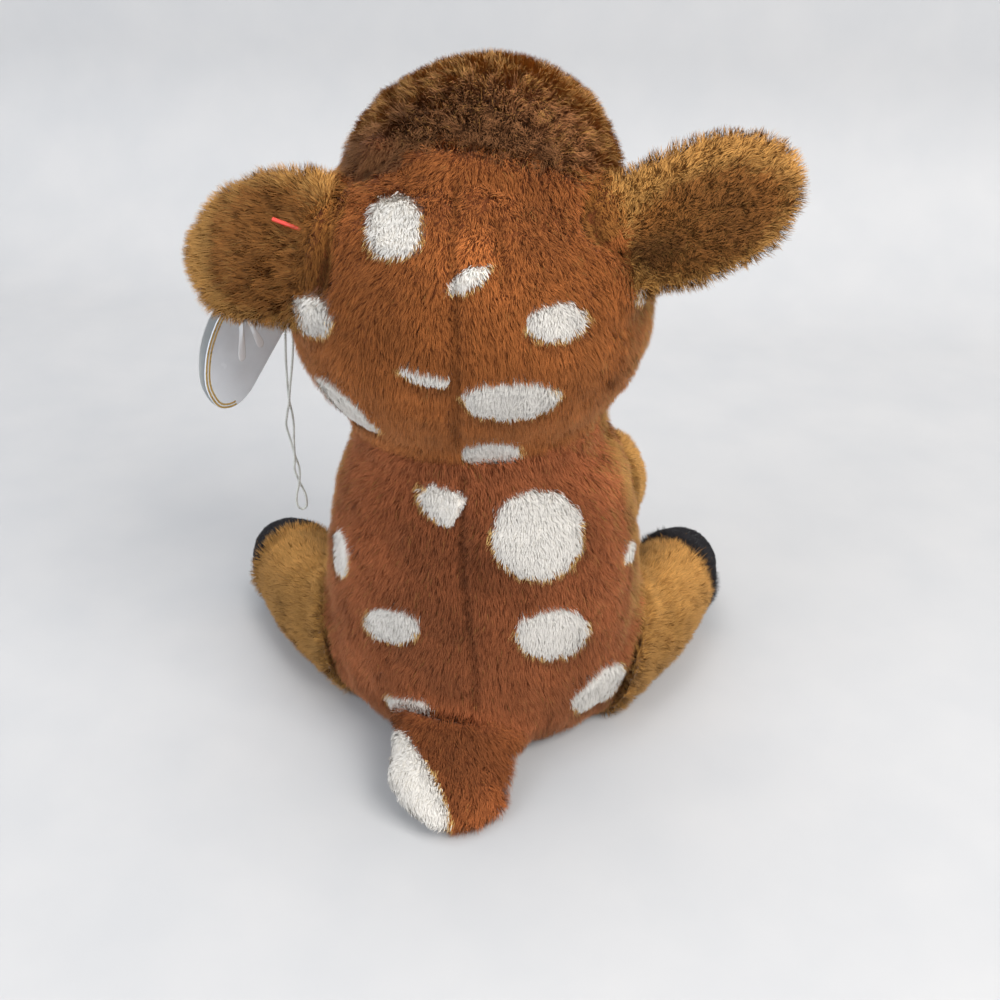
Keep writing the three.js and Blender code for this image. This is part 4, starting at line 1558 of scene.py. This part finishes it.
@dataclass(frozen=True)
class Limb(Sewn):
    """One leg with its velvet hoof.

    Attributes:
        end: Which end's leg.
        side: Which side's.
        fur: The leg's pile.
        velvet: The hoof's pile.
    """

    end: End
    side: Side
    fur: Coat = Coat(
        TAN_PILE, TAN_GROUND, 4.6, 8.0, inset=1.8, wild=1.9, lay=(20.0, 44.0), lock=2.2,
        cling=0.3, painted_rim_gold=0.7, round=1.6, weld=2.6,
    )
    velvet: Coat = Coat(VELVET_PILE, VELVET_GROUND, 1.9, 8.0, inset=0.9, painted_rim_gold=0.0, weld=0.0)

    def forms(self) -> list[Form]:
        """List the leg, with its hoof's black on its end, and the hoof."""
        leg, hoof = (f"{self.end.value}_{part}_{self.side.value}" for part in ("leg", "hoof"))
        line = LIMB_LINES[leg]
        fur = replace(
            self.fur, comb=line, borrow=((hoof, Dye.BLACK, CUFFS[self.end, self.side]),),
            patches_of_tone_and_light=(Patch(LEG_SHADE[self.side], 15.0, -1.4),) if self.end is End.HIND else (),
        )
        return [
            Form(leg, leg, "tan_pile", fur, ("body", "belly_panel", "seat_panel", hoof, "tail")),
            Form(hoof, leg, "black_velvet", replace(self.velvet, comb=line), (leg,)),
        ]


@dataclass(frozen=True)
class Tail(Sewn):
    """The leaf tail: rust above with a white left side, cream below.

    Attributes:
        fur: The upper side's pile.
        lining: The lower side's pile.
    """

    fur: Coat = Coat(
        TAIL_PILE, RUST_GROUND, 5.2, 8.5, comb=((3.0, 34.0, 26.0),), inset=1.4,
        lay=(38.0, 60.0), voxel=1.2, smooth=3, lock=2.2, cling=0.3, painted_rim_gold=0.0, weld=2.2,
        spots=(Spot((17.0, 69.0, 12.0), (-9.0, -7.4, 1.5), (-11.6, 14.4, -7.6), 4.0),),
        # The lighter right rim and tip are painted rim light, and the darkened white spot and the
        # darker place by the body are painted shade
        patches_of_tone_and_light=(
            Patch((-14.4, 62.9, 5.6), 8.0, 2.6), Patch((-4.0, 74.0, 3.0), 7.0, 2.0),
            Patch((17.0, 69.0, 12.0), 18.0, -3.0), Patch((-3.2, 48.8, 17.6), 9.0, -1.2),
        ),
    )
    lining: Coat = replace(LINING, length=2.6, density=6.0, comb=LIMB_LINES["tail"])

    def forms(self) -> list[Form]:
        """List both sides of the leaf."""
        beside = ("body", "tail_lining", "hind_leg_left", "hind_leg_right")
        return [
            Form("tail", "tail", "rust_pile", self.fur, beside),
            Form("tail_lining", "tail", "cream_pile", self.lining, ("tail", "body")),
        ]


# The string's way, in metres: over the barb's stem, down in two strands, and round its end loop
STRING_ROUTE = (
    (0.0623, -0.0109, 0.1475), (0.061, -0.0112, 0.1469), (0.0606, -0.0113, 0.1452),
    (0.0606, -0.0113, 0.1415), (0.0606, -0.0112, 0.14), (0.0606, -0.0112, 0.13),
    (0.0608, -0.0112, 0.124), (0.0619, -0.0108, 0.112), (0.0633, -0.0103, 0.103),
    (0.0642, -0.0103, 0.097), (0.0651, -0.0102, 0.093), (0.0659, -0.0108, 0.089),
    (0.0653, -0.0116, 0.0834), (0.0641, -0.0117, 0.077), (0.063, -0.0114, 0.0725),
    (0.0632, -0.0102, 0.0675), (0.0644, -0.0106, 0.0632), (0.0648, -0.0108, 0.0602),
    (0.0643, -0.0108, 0.0579), (0.0631, -0.011, 0.0572), (0.0619, -0.0112, 0.0579),
    (0.0614, -0.0112, 0.0602), (0.0618, -0.0114, 0.0632), (0.0636, -0.0118, 0.0675),
    (0.0644, -0.0106, 0.0725), (0.0639, -0.0103, 0.077), (0.0637, -0.0104, 0.0834),
    (0.0635, -0.0112, 0.089), (0.0639, -0.0118, 0.093), (0.0644, -0.0117, 0.097),
    (0.0645, -0.0117, 0.103), (0.0641, -0.0112, 0.112), (0.0632, -0.0108, 0.124),
    (0.063, -0.0108, 0.13), (0.0632, -0.0108, 0.14), (0.0634, -0.0107, 0.1415),
    (0.0634, -0.0107, 0.1453), (0.0633, -0.0107, 0.1463),
)


def through(points: tuple[Triple, ...], steps: int) -> np.ndarray:
    """Run a centripetal Catmull-Rom curve through points.

    Args:
        points: The points.
        steps: How many places to return, less one.

    Returns:
        Places at even steps along its length.
    """
    pts = np.array(points, float)
    pts = np.concatenate([[2 * pts[0] - pts[1]], pts, [2 * pts[-1] - pts[-2]]])
    fine = []
    for k in range(1, len(pts) - 2):
        p0, p1, p2, p3 = pts[k - 1 : k + 3]
        t1 = np.linalg.norm(p1 - p0) ** 0.5
        t2 = t1 + np.linalg.norm(p2 - p1) ** 0.5
        t3 = t2 + np.linalg.norm(p3 - p2) ** 0.5
        for t in np.linspace(t1, t2, 24, endpoint=False):
            a1 = (t1 - t) / t1 * p0 + t / t1 * p1
            a2 = (t2 - t) / (t2 - t1) * p1 + (t - t1) / (t2 - t1) * p2
            a3 = (t3 - t) / (t3 - t2) * p2 + (t - t2) / (t3 - t2) * p3
            b1 = (t2 - t) / t2 * a1 + t / t2 * a2
            b2 = (t3 - t) / (t3 - t1) * a2 + (t - t1) / (t3 - t1) * a3
            fine.append((t2 - t) / (t2 - t1) * b1 + (t - t1) / (t2 - t1) * b2)
    fine.append(pts[-2])
    fine = np.array(fine)
    run = np.concatenate([[0], np.cumsum(np.linalg.norm(np.diff(fine, axis=0), axis=1))])
    even = np.linspace(0, run[-1], steps + 1)
    return np.stack([np.interp(even, run, fine[:, k]) for k in range(3)], axis=1)


@dataclass(frozen=True)
class SwingTag:
    """The tag: two leaves of coated card, foil lines, the barb and the string.

    Attributes:
        diameter: The string's size across both plies, in metres.
        ply: Radius of one ply, in metres.
        twist: Length of one turn of the plies, in metres.
        sides: Sides of a ply.
        steps: Rings along it, less one.
        edges: How far each line of foil lies inside the card's edge.
        foil: How wide a line of foil is.
        raised: How far it stands off the card.
        thick: How thick it is.
        puckers: The puckers under the barb's hole: narrow end, wide end, width and height.
    """

    diameter: float = 0.0009
    ply: float = 0.00026
    twist: float = 0.0021
    sides: int = 7
    steps: int = 700
    edges: tuple[float, float] = (0.15, 1.15)
    foil: float = 0.6
    raised: float = 0.04
    thick: float = 0.03
    puckers: tuple[tuple[Triple, Triple, float, float], ...] = (
        ((76.6, -9.5, 125.5), (77.4, -8.5, 111.8), 3.6, 0.9),
        ((74.9, -11.6, 124.5), (72.6, -14.6, 114.4), 3.4, 0.8),
    )

    def string(self) -> None:
        """Twist two plies along the string's route."""
        line = through(STRING_ROUTE, self.steps)
        ahead = unit(np.gradient(line, axis=0))
        across = np.zeros_like(line)
        side = np.cross(ahead[0], (0.0, 1.0, 0.0))
        for k, way in enumerate(ahead):
            side = side - way * (side @ way)
            side /= np.linalg.norm(side)
            across[k] = side
        third = np.cross(ahead, across)
        count = len(line)
        length = float(np.linalg.norm(np.diff(line, axis=0), axis=1).sum())
        run = np.linspace(0, length, count)
        verts, faces = [], []
        for ply in range(2):
            turn = (2 * np.pi * run / self.twist + ply * np.pi)[:, None]
            off = (self.diameter / 2 - self.ply) * (np.cos(turn) * across + np.sin(turn) * third)
            rows = [(ply * self.sides + k) * count for k in range(self.sides)]
            for k, (near, far) in enumerate(zip(rows, rows[1:] + rows[:1])):
                a = 2 * np.pi * k / self.sides
                verts.append(line + off + self.ply * (np.cos(a) * across + np.sin(a) * third))
                faces += [(near + i, near + i + 1, far + i + 1, far + i) for i in range(count - 1)]
            faces += [rows, [row + count - 1 for row in reversed(rows)]]
        made = placed(
            "tag_string_plies",
            faceted("tag_string_plies", np.concatenate(verts).tolist(), faces, THREAD.material()),
        )
        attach(made, "ear_left")
        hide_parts("tag_string")
        LOG.info(f"tag string, {length:.3f} m")

    @staticmethod
    def _face(node: str, way: int) -> tuple[np.ndarray, np.ndarray]:
        """Find the outline of one face of a leaf of card.

        Args:
            node: The leaf.
            way: 1 for the face that looks away from the toy's front, -1 for the other.

        Returns:
            The outline's points in order, and the face's normal.
        """
        verts, _, tris = mesh_arrays(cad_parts[node])
        a, b, c = (verts[tris[:, k]] for k in range(3))
        cross = np.cross(b - a, c - a)
        area = np.linalg.norm(cross, axis=1) / 2
        big = int(np.argmax(area * (way * cross[:, 1] > 0)))
        normal = cross[big] / np.linalg.norm(cross[big])
        flat = (unit(cross) @ normal > 0.999) & (np.abs((a - a[big]) @ normal) < 0.02)
        points = np.unique(np.round(verts[np.unique(tris[flat])], 3), axis=0)
        local = points - points.mean(axis=0)
        u = unit(local[:1])[0]
        order = np.argsort(np.arctan2(local @ np.cross(normal, u), local @ u))
        return points[order], normal

    def _band(self, name: str, node: str, way: int, inner: float, gold: bpy.types.Material) -> None:
        """Stamp a line of foil along a leaf's free edge.

        Args:
            name: The line's name.
            node: The leaf.
            way: Which face, as in _face.
            inner: How far it lies inside the edge.
            gold: Its material.
        """
        outline, normal = self._face(node, way)
        ahead = np.roll(outline, -1, axis=0)
        inward = unit(np.cross(normal, ahead - np.roll(outline, 1, axis=0)))
        inward *= np.sign(((outline.mean(axis=0) - outline) * inward).sum(axis=1))[:, None]
        start = int(np.argmax(np.linalg.norm(ahead - outline, axis=1))) + 1
        order = np.roll(np.arange(len(outline)), -start)
        short, past = 3.0, 1.0
        order = order[outline[order, 2] < outline[:, 2].max() - short]
        if way > 0:
            order = order[outline[order, 0] > outline[np.argmin(outline[:, 2]), 0] - past]
        near = outline[order] + inward[order] * inner + normal * self.raised
        far = near + inward[order] * self.foil
        deep = normal * self.thick
        verts = np.stack([near - deep, near, far, far - deep], axis=1).reshape(-1, 3) * MM
        faces = [
            (k + j, k + (j + 1) % 4, k + 4 + (j + 1) % 4, k + 4 + j)
            for k in range(0, len(verts) - 4, 4) for j in range(4)
        ]
        faces += [(3, 2, 1, 0), tuple(range(len(verts) - 4, len(verts)))]
        mesh = faceted(name, verts.tolist(), faces, gold, smooth=False)
        piece(name, mesh, "tag" if node == "tag_back" else "tag_cover")

    def _pucker(
        self, name: str, top: Triple, foot: Triple, wide: float, rise: float,
        finish: bpy.types.Material,
    ) -> None:
        """Raise a pucker in the near leaf, where the barb's hole pulls the card.

        Args:
            name: Its name.
            top: Its narrow end.
            foot: Its wide end.
            wide: Its width at the wide end.
            rise: Its height.
            finish: Its material.
        """
        outline, normal = self._face("tag_back", 1)
        ends = np.array([top, foot])
        start, end = ends - normal * ((ends - outline[0]) @ normal)[:, None]
        side = unit(np.cross(normal, end - start)[None])[0]
        steps, columns, sunk, proud = 20, 9, -0.06, 0.01
        verts = []
        for under in (False, True):
            for t in np.linspace(0, 1, steps + 1):
                half = wide / 2 * (0.4 + 0.6 * t**1.6) * max(0.04, 1 - t**9) ** 0.5
                crown = rise * (0.25 + 0.75 * np.sin(np.pi * min(1.0, t + 0.35)) ** 2) * (1 - t**5)
                for u in np.linspace(-1, 1, columns):
                    high = sunk if under else proud + crown * np.cos(np.pi * u / 2) ** 1.6
                    place = start + t * (end - start) + side * (half * u) + normal * high
                    verts.append(tuple(place * MM))
        sheet = (steps + 1) * columns
        faces = []
        for a in (k * columns + j for k in range(steps) for j in range(columns - 1)):
            quad = (a, a + 1, a + columns + 1, a + columns)
            faces += [quad, tuple(sheet + v for v in reversed(quad))]
        grid = np.arange(sheet).reshape(steps + 1, columns)
        rim = np.concatenate([grid[0], grid[1:, -1], grid[-1, -2::-1], grid[-2:0:-1, 0]])
        near, far = rim.tolist(), np.roll(rim, -1).tolist()
        faces += [(b, a, sheet + a, sheet + b) for a, b in zip(near, far)]
        piece(name, faceted(name, verts, faces, finish), "tag")

    def build(self) -> None:
        """Make the string, finish the card and the barb, and add the foil lines and puckers."""
        self.string()
        paint(TAG_CARD.material(), "tag_back")
        # The cover leaf gets the grey card, painted shade
        paint(COVER_SHADE_CARD.material(), "tag_cover")
        paint(BARB.material(), "tag_barb")
        LOG.info("tag card and barb")
        gold = TAG_FOIL.material()
        for node, way in (("tag_back", 1), ("tag_cover", -1)):
            for count, inner in enumerate(self.edges, 1):
                self._band(f"{node}_foil_{count}", node, way, inner, gold)
        LOG.info("foil lines")
        # The puckers are painted whiter, as painted highlight
        finish = PUCKER_HIGHLIGHT.material()
        for count, sizes in enumerate(self.puckers, 1):
            self._pucker(f"tag_pucker_{count}", *sizes, finish)
        LOG.info("puckers")


@dataclass(frozen=True)
class Studio:
    """The camera, the pale floor and the soft lights, in metres.

    Attributes:
        lens: The camera's focal length, in mm.
        film: Width of its film, in mm.
        place: Where it stands.
        aim: What it looks at.
        lit: What the lamps point at.
        size: How far the floor runs to each side and to the front.
        back: Where its back stands.
        rise: How high that is.
        bend: Radius of the bend below it.
        steps: Facets of the bend.
    """

    lens: float = 46.8
    film: float = 36.0
    place: Triple = (-0.0547, 0.3495, 0.285)
    aim: Triple = (-0.007, 0.010, 0.079)
    lit: Triple = (0.0, 0.0, 0.08)
    size: float = 1.6
    back: float = -0.42
    rise: float = 1.2
    bend: float = 0.12
    steps: int = 12

    @staticmethod
    def _turn(obj: bpy.types.Object, place: Triple, aim: Triple) -> None:
        """Put an object in its place and point it somewhere."""
        obj.location = place
        obj.rotation_euler = (Vector(aim) - Vector(place)).to_track_quat("-Z", "Y").to_euler()

    def camera(self) -> None:
        """Set the photograph's view."""
        data = bpy.data.cameras.new("camera")
        data.lens = self.lens
        data.sensor_width = self.film
        data.clip_start = 0.01
        made = placed("camera", data)
        self._turn(made, self.place, self.aim)
        bpy.context.scene.camera = made
        LOG.info("camera")

    def _lamp(self, name: str, place: Triple, size: float, power: float, tint: Triple) -> None:
        """Hang a square soft light that points at the toy.

        Args:
            name: Its name.
            place: Where it hangs.
            size: Its side.
            power: Its power in watts.
            tint: Its colour.
        """
        data = bpy.data.lights.new(name, "AREA")
        data.shape = "SQUARE"
        data.size = size
        data.energy = power
        data.color = tint
        self._turn(placed(name, data), place, self.lit)

    def build(self) -> None:
        """Lay the floor and hang the lights."""
        profile = [(self.size, 0.0), (self.back + self.bend, 0.0)]
        for a in np.linspace(0, np.pi / 2, self.steps + 1)[1:]:
            foot = self.back + self.bend - self.bend * np.sin(a)
            profile.append((foot, self.bend - self.bend * np.cos(a)))
        profile.append((self.back, self.rise))
        verts = [(x, y, z) for y, z in profile for x in (-self.size, self.size)]
        faces = [(2 * k, 2 * k + 1, 2 * k + 3, 2 * k + 2) for k in range(len(profile) - 1)]
        paper = Recipe("studio_paper")
        grain = paper.noise(30.0, 3.0)
        tint = paper.ramp(grain, (0.3, (0.5, 0.505, 0.515)), (0.7, (0.53, 0.53, 0.535)))
        paper.join(tint, "Base Color")
        paper.constants(Roughness=0.6)
        placed("studio_floor", faceted("studio_floor", verts, faces, paper.made))
        world = bpy.data.worlds.new("studio_light")
        world.use_nodes = True
        sky = world.node_tree.nodes["Background"]
        sky.inputs["Color"].default_value = (0.93, 0.96, 1.0, 1)
        sky.inputs["Strength"].default_value = 0.66
        bpy.context.scene.world = world
        self._lamp("key", (-0.75, 0.55, 0.95), 0.8, 15.0, (1.0, 0.97, 0.93))
        self._lamp("fill", (0.8, 0.7, 0.7), 0.9, 6.5, (0.92, 0.95, 1.0))
        self._lamp("back", (0.1, -0.35, 1.0), 0.6, 4.0, (1.0, 0.98, 0.96))
        bpy.context.scene.view_settings.view_transform = "Standard"
        LOG.info("studio")


def main() -> None:
    """Build the camera and the tag, then the stuffed parts and the studio."""
    studio = Studio()
    studio.camera()
    SwingTag().build()
    ears = [Ear(side) for side in Side]
    limbs = [Limb(end, side) for end in End for side in Side]
    for part in (Head(), Torso(), Tail(), *ears, *limbs):
        part.build()
    studio.build()


if __name__ == "__main__":
    main()
